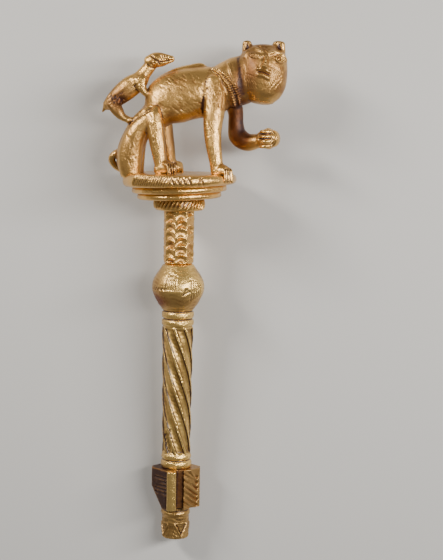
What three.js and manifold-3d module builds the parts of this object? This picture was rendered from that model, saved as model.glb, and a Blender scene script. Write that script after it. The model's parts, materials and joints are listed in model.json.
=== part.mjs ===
// Carved wooden sceptre covered with gold leaf: a big cat with a small animal on its back stands on
// a round stepped platform at the head of a fluted staff. Two pieces meet at a seam under the column.
// Local frame: X to the right as seen from the front, Y along the staff from its butt, Z to the front.
import * as THREE from "three";
import { mergeVertices } from "three/addons/utils/BufferGeometryUtils.js";
import Module from "manifold-3d";

// Heights along the staff, in mm from the butt
const tangTop = 21.3;
const ringletTop = 25.2;
const blockBottom = 29;
const blockTop = 65.3;
const lowBeadTop = 73;
const highBeadTop = 78.5;
const flutesTop = 196;
const lowBandTop = 202.8;
const highBandTop = 210;
const ballWidest = 231;
const seamHeight = 252.5;
const seamGap = 0.3;
const columnTop = 301;
const ropeTop = 311.3;
const lowStepTop = 317;
const midStepTop = 323;
const platformTop = 333.5;
// How far one turned part runs into the next where they are one piece of wood
const overlap = 0.3;

// Radii of the turned parts, in mm, and what is carved into them
const tangRadius = 12.4;
const tangEdge = 0.8;
const ringletRadius = 13.3;
const waistRadius = 11.4;
const lowBeadRadius = 13.9;
const highBeadRadius = 13.5;
const bandRadius = 14.5;
const beadEdge = 1.6;
const fluteRadiusLow = 12.7;
const fluteRadiusHigh = 14.1;
const fluteDepth = 1.7;
const fluteCount = 8;
const fluteTurnPitch = 218;
const ballRadius = 23.6;
const neckRadius = 14.4;
const columnRadius = 13.6;
const scallopColumns = 8;
const scallopRows = 6;
const scallopDepth = 1.5;
const ropeRadius = 23.1;
const ropeEdge = 3;
const ropeStrands = 18;
const ropeDepth = 1.1;
const lowStepRadius = 37.9;
const midStepRadius = 42.7;
const stepEdge = 1.4;
const slabRadius = 51.2;
const slabEdge = 2.6;
const slabFacets = 22;
// The steps and the slab's lower edge rise towards the right; the slab's top is level
const platformLean = 2.2;

// Winged block near the butt
const blockReach = 22;
const blockCorner = 25.4;
const ribWidth = 8.2;
const ribOffset = -3.4;
const channelLeft = -8.4;
const channelRight = 7.6;
const channelFloor = 12;
const grooveCount = 7;
const grooveSlope = 33;
const grooveLength = 21;
const grooveWidth = 2.6;
const rungCount = 5;
const rungPitch = 3.4;
const rungDrop = 8;
const rungLength = 15;
const rungWidth = 2.1;
const wornSlope = 27;
const wornRise = 1;

// The figures are drawn in hundredths of their height, from the centre of the platform's top
const figureHeight = 117.8;
const unit = figureHeight / 100;
const figureSink = 1.8;

// Lying pose: the staff is tipped until the slab's back and the block's back touch the ground, and
// the slab's back is cut to a small flat
const flatChord = 32;

const wasm = await Module();
wasm.setup();

// Closed solid from points and triangles, turned the right way out
function solid(points, index) {
  const build = () => new wasm.Manifold(new wasm.Mesh({
    numProp: 3,
    vertProperties: new Float32Array(points.flatMap((p) => [p.x, p.y, p.z])),
    triVerts: new Uint32Array(index),
  }));
  const made = build();
  if (made.volume() > 0) return made;
  for (let i = 0; i < index.length; i += 3) [index[i], index[i + 1]] = [index[i + 1], index[i]];
  return build();
}

// Triangles between two rings of points, the first starting at a and the second at b
function between(a, b, count) {
  return Array.from({ length: count }, (_, j) => {
    const k = (j + 1) % count;
    return [a + j, a + k, b + j, a + k, b + k, b + j];
  }).flat();
}

// Closed solid from rings of points that all have the same number of points, with a fan at each end
function skin(rings) {
  const count = rings[0].length;
  const points = rings.flat();
  const index = rings.slice(1).flatMap((_, i) => between(i * count, (i + 1) * count, count));
  for (const [ring, flip] of [[0, true], [rings.length - 1, false]]) {
    const centre = new THREE.Vector3();
    rings[ring].forEach((p) => centre.addScaledVector(p, 1 / count));
    points.push(centre);
    for (let j = 0; j < count; j++) {
      const a = ring * count + j;
      const b = ring * count + ((j + 1) % count);
      index.push(...(flip ? [b, a, points.length - 1] : [a, b, points.length - 1]));
    }
  }
  return solid(points, index);
}

// Closed solid from rings that follow one another round a loop
function hoop(rings) {
  const count = rings[0].length;
  return solid(rings.flat(), rings.flatMap((_, i) =>
    between(i * count, ((i + 1) % rings.length) * count, count)));
}

// Solid from a three.js geometry
function fromGeometry(geometry) {
  geometry.deleteAttribute("normal");
  geometry.deleteAttribute("uv");
  const merged = mergeVertices(geometry, 1e-4);
  return new wasm.Manifold(new wasm.Mesh({
    numProp: 3,
    vertProperties: merged.attributes.position.array,
    triVerts: new Uint32Array(merged.index.array),
  }));
}

const box = (x, y, z) => fromGeometry(new THREE.BoxGeometry(x, y, z));
const joined = (parts) => parts.reduce((all, part) => all.add(part));
// The outer skin of a joined solid, without pockets that closed up inside it
const outer = (made) => made.decompose().reduce((a, b) => (b.volume() > a.volume() ? b : a));
const mirrored = (stations, shift = 0) =>
  stations.map(([x, y, z, ...r]) => [x + shift, y, -z, ...r]);

// Solid turned about the staff's axis from a profile of [height, radius]. The angle is 0 at the front
// and grows towards +X; reach moves a point in or out, and turn twists the ring at a height
function turned(profile, sides, reach = (angle, y, r) => r, turn = () => 0) {
  return skin(profile.map(([y, r]) => Array.from({ length: sides }, (_, j) => {
    const angle = (2 * Math.PI * j) / sides + turn(y);
    const out = reach(angle, y, r, j);
    return new THREE.Vector3(out * Math.sin(angle), y, out * Math.cos(angle));
  })));
}

// Value of a Catmull-Rom curve through equal-length rows of numbers
function along(rows, t) {
  const at = Math.min(Math.floor(t * (rows.length - 1)), rows.length - 2);
  const u = t * (rows.length - 1) - at;
  const row = (k) => rows[Math.max(0, Math.min(rows.length - 1, k))];
  return rows[0].map((_, c) => {
    const [a, b, d, e] = [row(at - 1)[c], row(at)[c], row(at + 1)[c], row(at + 2)[c]];
    return 0.5 * (2 * b + (d - a) * u + (2 * a - 5 * b + 4 * d - e) * u * u +
      (3 * b - a - 3 * d + e) * u ** 3);
  });
}

const ontoPlatform = (part) => part.translate([0, platformTop - figureSink, 0]);

// Limb: an ellipse swept through stations [x, y, z, half width in the picture plane, half depth],
// with a rounded end of the given bulge at each side
function limb(stations, sides, steps, bulge = 0.6) {
  const section = (row, next, shrink = 1, push = 0) => {
    const centre = new THREE.Vector3(...row);
    const way = new THREE.Vector3(...next).sub(centre).normalize();
    const wide = new THREE.Vector3(0, 0, 1).cross(way).normalize();
    const deep = way.clone().cross(wide);
    centre.addScaledVector(way, push * Math.min(row[3], row[4]));
    return Array.from({ length: sides }, (_, j) => {
      const a = (2 * Math.PI * (j + 0.5)) / sides;
      return centre.clone()
        .addScaledVector(wide, shrink * row[3] * Math.cos(a))
        .addScaledVector(deep, shrink * row[4] * Math.sin(a))
        .multiplyScalar(unit);
    });
  };
  const rows = Array.from({ length: steps + 1 }, (_, i) => along(stations, i / steps));
  const last = rows[steps];
  const rings = rows.map((row, i) => {
    const from = rows[Math.max(0, i - 1)];
    const to = rows[Math.min(steps, i + 1)];
    return section(row, row.map((v, k) => v + to[k] - from[k]));
  });
  const beyond = last.map((v, k) => 2 * v - rows[steps - 1][k]);
  return ontoPlatform(skin([
    section(rows[0], rows[1], 0.66, -bulge), ...rings, section(last, beyond, 0.66, bulge),
  ]));
}

// Four toes of a paw that points yaw degrees to the front of +X: ridges that curl down at its tip
function toes(x, y, z, yaw, drop) {
  const [reach, spread, width] = [2.8, 2.5, 1.4];
  const [ahead, across] = [Math.cos(THREE.MathUtils.degToRad(yaw)), Math.sin(THREE.MathUtils.degToRad(yaw))];
  return joined([-1.5, -0.5, 0.5, 1.5].map((i) => {
    const [cx, cz] = [x - across * spread * i, z + ahead * spread * i];
    const at = (t, down, w) => [cx + ahead * reach * t, y - down, cz + across * reach * t, w, w];
    return limb([at(-0.5, -1, width), at(0.5, 0, width), at(1, drop, width * 0.8)], 3, 2, 0.5);
  }));
}

function bigCat() {
  const torso = limb([
    [37, 63, 0, 10.5, 10], [27, 62.4, 0, 18.3, 13], [14, 62.5, 0, 19.3, 14.8], [1.4, 60, 0, 19.6, 14.8],
    [-9.8, 54.8, 0, 18.8, 14.4], [-18.6, 44.8, 0, 12, 13.5], [-30, 34.5, 0, 9.6, 13],
    [-37, 20, 0, 9.8, 13], [-38, 9, 0, 9.6, 13], [-36.5, 2, 0, 7.5, 11],
  ], 12, 10);
  const thigh = [
    [-17, 47.5, 14, 4, 3.6], [-24, 41.5, 13.5, 6.2, 5], [-31.5, 33, 12, 7.4, 6.4],
    [-35.8, 22, 11, 8.8, 7], [-37.2, 11, 10.5, 9.2, 7], [-36.5, 1.5, 10, 8, 6.4],
  ];
  const shank = [
    [-18.8, 46.5, 15, 5, 4.2], [-18.2, 39, 15.8, 6.3, 5], [-17, 29, 16.5, 6.2, 5.2],
    [-15.2, 18.5, 17.2, 5.6, 5], [-13.6, 9, 18, 4.8, 4.4], [-12.6, 2.5, 18, 4.6, 4.2],
  ];
  const hindPaw = [[-15, 4.6, 17, 4.6, 5], [-9.6, 6, 18.6, 5.8, 6], [-5.4, 4.8, 20.4, 4.6, 5.4]];
  const foreleg = [
    [24.4, 72, 10, 7, 4.5], [26.2, 61, 11.5, 8.2, 5.6], [25.8, 50, 13.4, 8, 6.2],
    [24.8, 40, 14.3, 7.3, 6], [24.8, 30, 15.8, 6.4, 5.3], [25.9, 20.5, 16.9, 5.7, 5],
    [27.5, 11.5, 18, 5.1, 4.6], [28.6, 3, 18.4, 4.8, 4.4],
  ];
  const forePaw = [[28, 3.4, 18.4, 4.4, 5], [32.4, 4.6, 19.8, 5, 6], [35.6, 3.4, 21.4, 3.8, 5.4]];
  const raised = limb([
    [37, 62, -6, 8, 7], [41.6, 49, -9, 6, 5.6], [42.2, 38.5, -9.6, 6, 5.4],
    [44, 30, -8.6, 7.2, 5.8], [51, 25.6, -5.6, 6.8, 5.8], [58.4, 26.6, -1.6, 5.6, 5.4],
    [62, 27.4, 0, 5.2, 5],
  ], 8, 7);
  const neck = limb([
    [14, 67, 0, 13, 11.5], [26, 67, 0, 15, 12.6], [36, 69, 0, 17.4, 13.6],
    [44, 71.5, 0, 18.4, 14.2], [53, 75, 0, 17, 13.5],
  ], 10, 4);
  return joined([
    torso, neck, raised,
    limb(thigh, 8, 5), limb(mirrored(thigh, 1), 7, 5),
    limb(shank, 8, 4), limb(mirrored(shank, 5.5), 7, 4),
    limb(hindPaw, 8, 2), limb(mirrored(hindPaw, 2.5), 7, 2),
    limb(foreleg, 8, 7), limb(forePaw, 8, 2),
    toes(-5.6, 6.4, 22, 40, 5), toes(-1.5, 6.4, -22, -40, 5), toes(35, 4.6, 21.6, 40, 8),
    fist(), head(), tail(), spine(), collar(0, 0), collar(5, 1.6),
  ]);
}

function fist() {
  const ball = limb([[62.4, 28, 0, 6.5, 6.5], [66.9, 28.6, 1.4, 8.2, 8], [70.5, 28.8, 2, 6.6, 6.6]], 9, 3);
  const fingers = [0, 1, 2, 3].map((i) => limb([
    [67.9, 34.2 - 3.7 * i, 7.6, 1.6, 1.8], [63.9, 34 - 3.7 * i, 9, 1.6, 1.8],
    [60.9, 33.6 - 3.6 * i, 6.4, 1.4, 1.6],
  ], 4, 2, 0.5));
  return joined([ball, ...fingers]);
}

function head() {
  const skull = limb([
    [61.7, 95.6, 0.5, 12, 9.6], [61.7, 91.4, 0.8, 16.6, 13.6], [61.6, 84.6, 0.8, 18.3, 15.8],
    [61.4, 75.6, 1.5, 18.6, 16.4], [61, 68, 2.2, 17.8, 15.4], [60.6, 62, 3, 15.2, 13],
    [60, 57.4, 3.4, 10.8, 9.5],
  ], 13, 7, 0.3);
  const ear = (x, wide) => limb([[x, 89.4, 0, wide, 3], [x, 97.6, 0.6, wide, 2.2]], 7, 1, 0.9);
  const muzzle = limb([
    [56.8, 78.2, 15.4, 2.2, 2], [61.6, 77.2, 16.6, 3.4, 2.6], [66.4, 75.6, 15.4, 2.2, 2],
  ], 6, 2);
  const nose = limb([[63.6, 87.6, 15, 1.6, 2], [63, 84.6, 16.8, 2, 2.6], [62.2, 81.6, 18, 2.9, 3]], 6, 2);
  const brow = (x, y, rise) => limb([
    [x - 5, y - rise, 13, 1.4, 2], [x, y + 1.2, 15, 1.6, 2], [x + 5, y + rise, 13, 1.4, 2],
  ], 5, 2);
  const eye = (x, y, droop) => limb([
    [x - 3.6, y + droop, 13.6, 0.8, 1], [x, y, 15.4, 2, 1.8], [x + 3.6, y - droop, 13.6, 0.8, 1],
  ], 6, 2);
  return joined([
    skull, ear(49.6, 3.8), ear(73.4, 4.8), muzzle, nose,
    brow(54.6, 91.4, 0.5), brow(72.2, 89.6, -1), eye(54.8, 87.8, 0.4), eye(72.2, 85.8, 0.8),
  ]);
}

// The tail comes out behind the haunch and goes back in at the rear
function tail() {
  return limb([
    [-41, 18.4, -2, 3, 3], [-48.4, 15.6, -3, 2.9, 2.9], [-51.8, 11.2, -4, 2.7, 2.7],
    [-48.6, 5.6, -7, 2.5, 2.5], [-41, 2, -11, 2.3, 2.3], [-31, 1.6, -14, 2, 2],
  ], 5, 5);
}

// Raised strip that runs along the back
function spine() {
  return limb([
    [-16, 73, 0, 1.2, 2], [-3.6, 78.6, 0, 1.8, 3.4], [8, 81.4, 0, 2, 3.6],
    [15, 82.6, 0, 1.8, 2.6], [19, 80.6, 0, 1.4, 2],
  ], 5, 5, 0.4);
}

// Cord laid round the neck in a sloping plane
function collar(forward, shorten) {
  const top = new THREE.Vector3(27.5 + forward, 81.5 - shorten * 0.6, 0);
  const bottom = new THREE.Vector3(41.5 + forward * 0.7, 51 + shorten * 2, 0);
  const centre = top.clone().add(bottom).divideScalar(2);
  const half = top.clone().sub(centre);
  const across = new THREE.Vector3(half.y, -half.x, 0).normalize();
  const [depth, bow, thick, turns] = [15, 3, 1.25, 16];
  return ontoPlatform(hoop(Array.from({ length: turns }, (_, i) => {
    const a = (2 * Math.PI * i) / turns;
    const out = half.clone().multiplyScalar(Math.cos(a)).add(new THREE.Vector3(0, 0, depth * Math.sin(a)));
    const at = centre.clone().add(out).add(new THREE.Vector3(bow * Math.sin(a) ** 2, 0, 0));
    out.normalize();
    return [0, 1, 2].map((j) => {
      const b = (2 * Math.PI * j) / 3;
      return at.clone().addScaledVector(out, thick * Math.cos(b))
        .addScaledVector(across, thick * Math.sin(b)).multiplyScalar(unit);
    });
  })));
}

function smallAnimal() {
  const body = limb([
    [-55, 51.6, 0, 4, 3.8], [-51.5, 54.4, 0, 5.8, 4.6], [-44.5, 60.4, 0, 7.6, 5.3],
    [-37.6, 66, 0, 8, 5.4], [-31.5, 70.4, 0, 7, 5.2], [-27.4, 76, 0, 5.2, 4.2], [-23, 81.6, 0, 4.8, 3.9],
  ], 8, 7);
  const skull = limb([
    [-24.6, 84.6, 0, 4.4, 3.8], [-19.4, 86, 0, 5.7, 4.5], [-14, 86.4, 0, 5.2, 3.9],
    [-9.6, 86.8, 0, 3.6, 3], [-6.6, 87, 0, 2.6, 2.4],
  ], 8, 5);
  const tip = limb([[-54, 54, 0, 3.4, 2.4], [-56.6, 50.4, 0, 2, 1.7], [-58.6, 46.6, 0, 0.6, 0.6]], 5, 2);
  const front = [
    [-30.5, 72, 4.2, 5, 2.4], [-29.6, 66.4, 5, 3.8, 2.5], [-27, 62.4, 5, 2.8, 2.4], [-23, 59, 4.6, 2.4, 2.2],
  ];
  const rear = [
    [-50.8, 54, 4, 5.4, 2.6], [-47, 47.4, 5, 4.2, 2.6], [-43, 43, 5, 2.8, 2.3], [-36.5, 40.6, 4.6, 2.2, 2.2],
  ];
  return joined([body, skull, tip,
    ...[front, mirrored(front), rear, mirrored(rear)].map((leg) => limb(leg, 6, 3))]);
}

// Lifts the right side of a turned part and lowers its left: not at all at the platform's top, and
// by the full lean from the top of the middle step downwards
function leaned(part) {
  const slope = Math.tan(THREE.MathUtils.degToRad(platformLean));
  return part.warp((p) => {
    const share = Math.min(1, Math.max(0, (platformTop - p[1]) / (platformTop - midStepTop)));
    p[1] += p[0] * slope * share;
  });
}

function platform() {
  const step = (from, to, radius, lip) => turned([
    [from - overlap, radius - stepEdge], [from + stepEdge / 2, radius],
    [to - stepEdge, radius], [to, radius - lip],
  ], slabFacets);
  const slab = turned([
    [midStepTop - overlap, slabRadius - slabEdge * 2], [midStepTop + stepEdge / 2, slabRadius - slabEdge / 2],
    [(midStepTop + platformTop) / 2, slabRadius], [platformTop - slabEdge, slabRadius],
    [platformTop, slabRadius - slabEdge],
  ], slabFacets);
  const height = ropeTop - columnTop;
  const rope = turned([
    [columnTop, ropeRadius - ropeEdge], [columnTop + height * 0.25, ropeRadius],
    [ropeTop - height * 0.25, ropeRadius], [ropeTop + overlap, ropeRadius - ropeEdge],
  ], ropeStrands * 2, (angle, y, r, j) => r - (j % 2 ? ropeDepth : 0),
  (y) => ((columnTop - y) / height) * (Math.PI / ropeStrands));
  return joined([
    leaned(joined([slab, step(lowStepTop, midStepTop, midStepRadius, stepEdge),
      step(ropeTop, lowStepTop, lowStepRadius, stepEdge * 2)])),
    rope,
  ]);
}

// Column with rows of lens-shaped hollows; each column of them starts half a pitch off its neighbours
function column() {
  const bottom = seamHeight + seamGap / 2;
  const pitch = (columnTop - bottom) / scallopRows;
  const perColumn = 3;
  const profile = Array.from({ length: scallopRows * 2 + 1 }, (_, i) =>
    [bottom + (i * pitch) / 2, columnRadius]);
  const lens = (angle, y, r, j) => {
    const shift = (Math.floor(j / perColumn) % 2) / 2;
    const across = Math.sin((Math.PI * (j % perColumn)) / perColumn);
    return r - scallopDepth * across * Math.abs(Math.sin(Math.PI * ((y - bottom) / pitch + shift)));
  };
  return turned(profile, scallopColumns * perColumn, lens, () => -0.86);
}

// Bar of square section that cuts a V along one direction into a face
function vee(way, out, at, length, width) {
  const basis = new THREE.Matrix4().makeBasis(out.clone().cross(way), out, way).setPosition(...at);
  const side = width * Math.SQRT1_2;
  return box(side, side, length).rotate([0, 0, 45]).transform(basis.elements);
}

// Block with four slanting faces; a rib stands in a channel at its front and at its back. The back has
// no rungs
function block() {
  const side = blockCorner - blockReach;
  const quarter = [[blockReach, side], [side, blockReach], [-side, blockReach], [-blockReach, side]];
  const outline = [...quarter, ...quarter.map(([x, y]) => [-x, -y])];
  const shape = new THREE.Shape(outline.map((p) => new THREE.Vector2(...p)));
  const height = blockTop - blockBottom;
  const middle = (blockTop + blockBottom) / 2;
  const raw = new THREE.ExtrudeGeometry(shape, { depth: height, bevelEnabled: false });
  let made = fromGeometry(raw.rotateX(-Math.PI / 2).translate(0, blockBottom, 0));
  const channel = box(channelRight - channelLeft, height * 2, blockReach)
    .translate([(channelRight + channelLeft) / 2, middle, channelFloor + blockReach / 2]);
  const ribRoot = channelFloor - overlap;
  const rib = box(ribWidth, height, blockReach - ribRoot)
    .translate([ribOffset, middle, (blockReach + ribRoot) / 2]);
  const half = Math.SQRT1_2;
  const centre = blockCorner / 2;
  const slope = THREE.MathUtils.degToRad(grooveSlope);
  const right = new THREE.Vector3(half, 0, half);
  const left = new THREE.Vector3(-half, 0, half);
  const down = new THREE.Vector3(half * Math.cos(slope), -Math.sin(slope), -half * Math.cos(slope));
  for (const turn of [0, 180]) {
    const cut = (part) => { made = made.subtract(part.rotate([0, turn, 0])); };
    cut(channel);
    made = made.add(rib.rotate([0, turn, 0]));
    for (let i = 0; i < grooveCount; i++) {
      const y = blockBottom + (height * (i + 0.5)) / grooveCount;
      cut(vee(down, right, [centre, y, centre], grooveLength, grooveWidth));
    }
  }
  for (let i = 0; i < rungCount; i++) {
    const at = [-centre - rungWidth / 2, blockTop - rungDrop - rungPitch * i, centre - rungWidth / 2];
    made = made.subtract(vee(right, left, at, rungLength, rungWidth));
  }
  // The left wing's lower corner is worn away
  const size = blockCorner * 2;
  const worn = box(size, size, size * 2).translate([-size / 2, -size / 2, 0]).rotate([0, 0, wornSlope])
    .translate([-blockReach, middle + wornRise, 0]);
  return made.subtract(worn);
}

// Ball's outline: share of the way down (-) or up (+) from its widest place, and share of its swell
const ballOutline = [
  [-1, -0.1], [-0.86, 0.09], [-0.72, 0.37], [-0.38, 0.76], [-0.14, 1], [0.14, 1],
  [0.3, 0.89], [0.52, 0.65], [0.73, 0.35], [0.86, 0.07], [1, 0],
];

function staff() {
  const sides = 18;
  const tang = turned([[0, tangRadius - tangEdge], [tangEdge, tangRadius], [tangTop, tangRadius]], sides);
  const ringlet = turned([
    [tangTop - overlap, waistRadius], [tangTop + tangEdge, ringletRadius],
    [ringletTop - tangEdge, ringletRadius], [ringletTop, waistRadius], [blockBottom + overlap, waistRadius],
  ], sides);
  const bead = (from, to, radius) => turned([
    [from - overlap, radius - beadEdge], [from + (to - from) * 0.25, radius - beadEdge / 8],
    [to - (to - from) * 0.25, radius - beadEdge / 8], [to + overlap, radius - beadEdge],
  ], sides);
  const steps = 10;
  const fluted = Array.from({ length: steps + 1 }, (_, i) => [
    highBeadTop - overlap + ((flutesTop - highBeadTop + overlap * 2) * i) / steps,
    fluteRadiusLow + ((fluteRadiusHigh - fluteRadiusLow) * i) / steps,
  ]);
  const flutes = turned(fluted, fluteCount * 3, (angle, y, r, j) => r - (j % 3 ? fluteDepth : 0),
    (y) => (-2 * Math.PI * (y - highBeadTop)) / fluteTurnPitch);
  const top = seamHeight - seamGap / 2;
  const ball = turned(ballOutline.map(([t, swell]) => [
    ballWidest + t * (t < 0 ? ballWidest - highBandTop + overlap : top - ballWidest),
    neckRadius + swell * (ballRadius - neckRadius),
  ]), sides + 2);
  return joined([
    tang, ringlet, block(),
    bead(blockTop, lowBeadTop, lowBeadRadius), bead(lowBeadTop, highBeadTop, highBeadRadius),
    flutes, bead(flutesTop, lowBandTop, bandRadius), bead(lowBandTop, highBandTop, bandRadius), ball,
  ]);
}

// Tilt at which the rear edge of the slab's flat and the rear rib of the block both touch the ground
const slabDrop = Math.sqrt(slabRadius ** 2 - (flatChord / 2) ** 2);
const slabTouch = midStepTop + stepEdge;
const tilt = Math.atan2(slabDrop - blockReach, slabTouch - blockBottom);
const lay = (part) => part.rotate([THREE.MathUtils.radToDeg(tilt), 0, 0]);

const shaft = lay(outer(staff()));
const ground = shaft.boundingBox().min[2];
const under = box(platformTop * 2, platformTop * 4, platformTop).translate([0, 0, ground - platformTop / 2]);
const finial = lay(outer(joined([column(), platform(), bigCat(), smallAnimal()]))).subtract(under);
const [a, b] = [finial.boundingBox(), shaft.boundingBox()];
const middleX = (Math.min(a.min[0], b.min[0]) + Math.max(a.max[0], b.max[0])) / 2;
const middleY = (Math.min(a.min[1], b.min[1]) + Math.max(a.max[1], b.max[1])) / 2;

const group = new THREE.Group();
group.name = "sceptre";
group.userData = { tilt, shift: [-middleX, -middleY, -ground] };

function addPiece(name, made, color) {
  const mesh = made.translate(group.userData.shift).getMesh();
  const geometry = new THREE.BufferGeometry();
  geometry.setAttribute("position", new THREE.BufferAttribute(new Float32Array(mesh.vertProperties), 3));
  geometry.setIndex(new THREE.BufferAttribute(new Uint32Array(mesh.triVerts), 1));
  geometry.computeVertexNormals();
  const leaf = new THREE.MeshStandardMaterial({ color, roughness: 0.42, metalness: 0.7 });
  const piece = new THREE.Mesh(geometry, leaf);
  piece.name = name;
  group.add(piece);
}

addPiece("finial", finial, 0xb8843e);
addPiece("shaft", shaft, 0xc8963c);

export default group;
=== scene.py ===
# %% [markdown]
# # Sceptre: a big cat and a small animal on a fluted staff
# The real object is carved wood covered with thin gold leaf: one carving with both animals, their round
# platform and a scalloped column, and one turned staff under it. So there are two finished pieces.
#
# Sizes below are millimetres in the staff's own frame: X to the right, Y along the staff from its butt,
# Z out of the front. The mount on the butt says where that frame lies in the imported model.

# %% Setup
import json
import math

import bmesh
import bpy
import numpy as np
from mathutils import Matrix, Vector
from mathutils.bvhtree import BVHTree


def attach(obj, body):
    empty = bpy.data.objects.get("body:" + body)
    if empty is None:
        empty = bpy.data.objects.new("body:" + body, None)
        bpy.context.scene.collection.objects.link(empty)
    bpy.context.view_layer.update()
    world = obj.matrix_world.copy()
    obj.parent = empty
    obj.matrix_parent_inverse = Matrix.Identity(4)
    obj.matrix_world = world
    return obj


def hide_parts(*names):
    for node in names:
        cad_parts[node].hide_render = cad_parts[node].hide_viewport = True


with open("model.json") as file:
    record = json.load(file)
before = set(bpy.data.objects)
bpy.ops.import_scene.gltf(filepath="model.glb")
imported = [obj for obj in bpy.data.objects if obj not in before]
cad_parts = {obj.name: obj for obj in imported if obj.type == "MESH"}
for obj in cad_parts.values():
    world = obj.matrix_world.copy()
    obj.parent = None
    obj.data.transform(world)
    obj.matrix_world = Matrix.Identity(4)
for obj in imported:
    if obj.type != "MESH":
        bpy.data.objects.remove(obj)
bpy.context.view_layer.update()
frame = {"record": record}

butt = next(mount for mount in frame["record"]["mounts"] if mount["name"] == "butt_face")
SHIFT = np.array(butt["pos_m"]) * 1000
TILT = math.asin(-butt["axis"][2])
print("tilt", round(math.degrees(TILT), 2), "degrees, shift", SHIFT)

# Heights along the staff
BUTT_TOP, RINGLET_TOP = 21.3, 25.2
BLOCK_BOTTOM, BLOCK_TOP = 29.0, 65.3
LOW_BEAD_TOP, HIGH_BEAD_TOP = 73.0, 78.5
FLUTES_TOP, LOW_BAND_TOP, HIGH_BAND_TOP = 196.0, 202.8, 210.0
SEAM, SEAM_GAP = 252.5, 0.3
COLUMN_TOP, ROPE_TOP, LOW_STEP_TOP, MID_STEP_TOP, PLATFORM_TOP = 301.0, 311.3, 317.0, 323.0, 333.5


# %% [markdown]
# ## Shells
# A turned staff and a carved limb are both rows of closed outlines, so most shapes here begin as rings
# of points joined by faces. NumPy can bend and press such a shell in one step, which is faster and
# clearer than moving the points of a mesh one by one.

# %% Shells
def shell_from_rings(rings):
    """Closed shell from rings with the same number of points, with a fan at each end."""
    rings = np.asarray(rings, float)
    n, count = rings.shape[:2]
    points = np.vstack([rings.reshape(-1, 3), rings[0].mean(0), rings[-1].mean(0)])
    i, j = np.meshgrid(np.arange(n - 1), np.arange(count), indexing="ij")
    a, b = i * count + j, i * count + (j + 1) % count
    quads = np.stack([a, b, b + count, a + count], -1).reshape(-1, 4)
    j = np.arange(count)
    first = np.stack([(j + 1) % count, j, np.full(count, n * count)], 1)
    top = (n - 1) * count
    last = np.stack([top + j, top + (j + 1) % count, np.full(count, n * count + 1)], 1)
    return points, quads.tolist() + first.tolist() + last.tolist()


def joined(shells):
    points, faces, start = [], [], 0
    for p, f in shells:
        points.append(p)
        faces += [[k + start for k in face] for face in f]
        start += len(p)
    return np.vstack(points), faces


def added(name, data):
    made = bpy.data.objects.new(name, data)
    bpy.context.scene.collection.objects.link(made)
    return made


def mesh_object(name, shell):
    mesh = bpy.data.meshes.new(name)
    mesh.from_pydata(shell[0].tolist(), [], shell[1])
    mesh.update()
    return added(name, mesh)


def shell_of(obj):
    """Points and faces of an object with its modifiers applied; the object is removed."""
    dg = bpy.context.evaluated_depsgraph_get()
    mesh = bpy.data.meshes.new_from_object(obj.evaluated_get(dg))
    points = np.empty(len(mesh.vertices) * 3)
    mesh.vertices.foreach_get("co", points)
    faces = [list(p.vertices) for p in mesh.polygons]
    bpy.data.meshes.remove(mesh)
    bpy.data.objects.remove(obj)
    return points.reshape(-1, 3), faces


def remeshed(name, shell, voxel):
    made = mesh_object(name, shell)
    mod = made.modifiers.new("remesh", "REMESH")
    mod.mode = "VOXEL"
    mod.voxel_size = voxel
    return shell_of(made)


def counted(name, shell):
    """Prints the size of a shell and returns it."""
    print(name, len(shell[0]), "points", sum(len(face) - 2 for face in shell[1]), "triangles")
    return shell


# %% [markdown]
# ## Smoothing
# A knife leaves soft ridges, not the steps of a voxel mesh. Averaging each point with its neighbours
# softens a shell, and a second step outwards keeps it from shrinking, which a Smooth modifier leaves out.

# %% Smoothing and normals
def edges_of(shell):
    pairs = []
    for size in {len(f) for f in shell[1]}:
        f = np.array([f for f in shell[1] if len(f) == size])
        for k in range(size):
            pairs.append(np.stack([f[:, k], f[:, (k + 1) % size]], 1))
    pairs = np.sort(np.vstack(pairs), 1)
    return np.unique(pairs, axis=0)


def averaged(values, edges, count):
    """Mean of each point's neighbours."""
    total = np.zeros((count, values.shape[1]))
    for k in range(values.shape[1]):
        total[:, k] = np.bincount(edges[:, 0], values[edges[:, 1], k], count)
        total[:, k] += np.bincount(edges[:, 1], values[edges[:, 0], k], count)
    near = np.bincount(edges.ravel(), minlength=count)[:, None]
    return total / np.maximum(near, 1)


def smoothed(shell, rounds, keep=0.53):
    """Smooths a shell; each round pushes back out a little so that it doesn't shrink."""
    points, edges = shell[0].copy(), edges_of(shell)
    for _ in range(rounds):
        points += 0.5 * (averaged(points, edges, len(points)) - points)
        points -= keep * (averaged(points, edges, len(points)) - points)
    return points, shell[1]


def normals_of(shell):
    points = shell[0]
    total = np.zeros_like(points)
    for size in {len(f) for f in shell[1]}:
        f = np.array([f for f in shell[1] if len(f) == size])
        n = np.cross(points[f[:, 1]] - points[f[:, 0]], points[f[:, 2]] - points[f[:, 0]])
        if size == 4:
            n = np.cross(points[f[:, 2]] - points[f[:, 0]], points[f[:, 3]] - points[f[:, 1]])
        for k in range(size):
            for c in range(3):
                total[:, c] += np.bincount(f[:, k], n[:, c], len(points))
    return total / (np.linalg.norm(total, axis=1)[:, None] + 1e-12)


def unit_rows(v):
    return v / (np.linalg.norm(v, axis=1)[:, None] + 1e-12)


def line_distance(p, line):
    """Distance of flat points to a polyline, in the line's own units."""
    line = np.asarray(line, float)
    best = np.full(len(p), 1e9)
    for a, b in zip(line[:-1], line[1:]):
        ab = b - a
        t = np.clip(((p - a) @ ab) / (ab @ ab), 0, 1)
        best = np.minimum(best, np.linalg.norm(p - a - t[:, None] * ab, axis=1))
    return best
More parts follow.
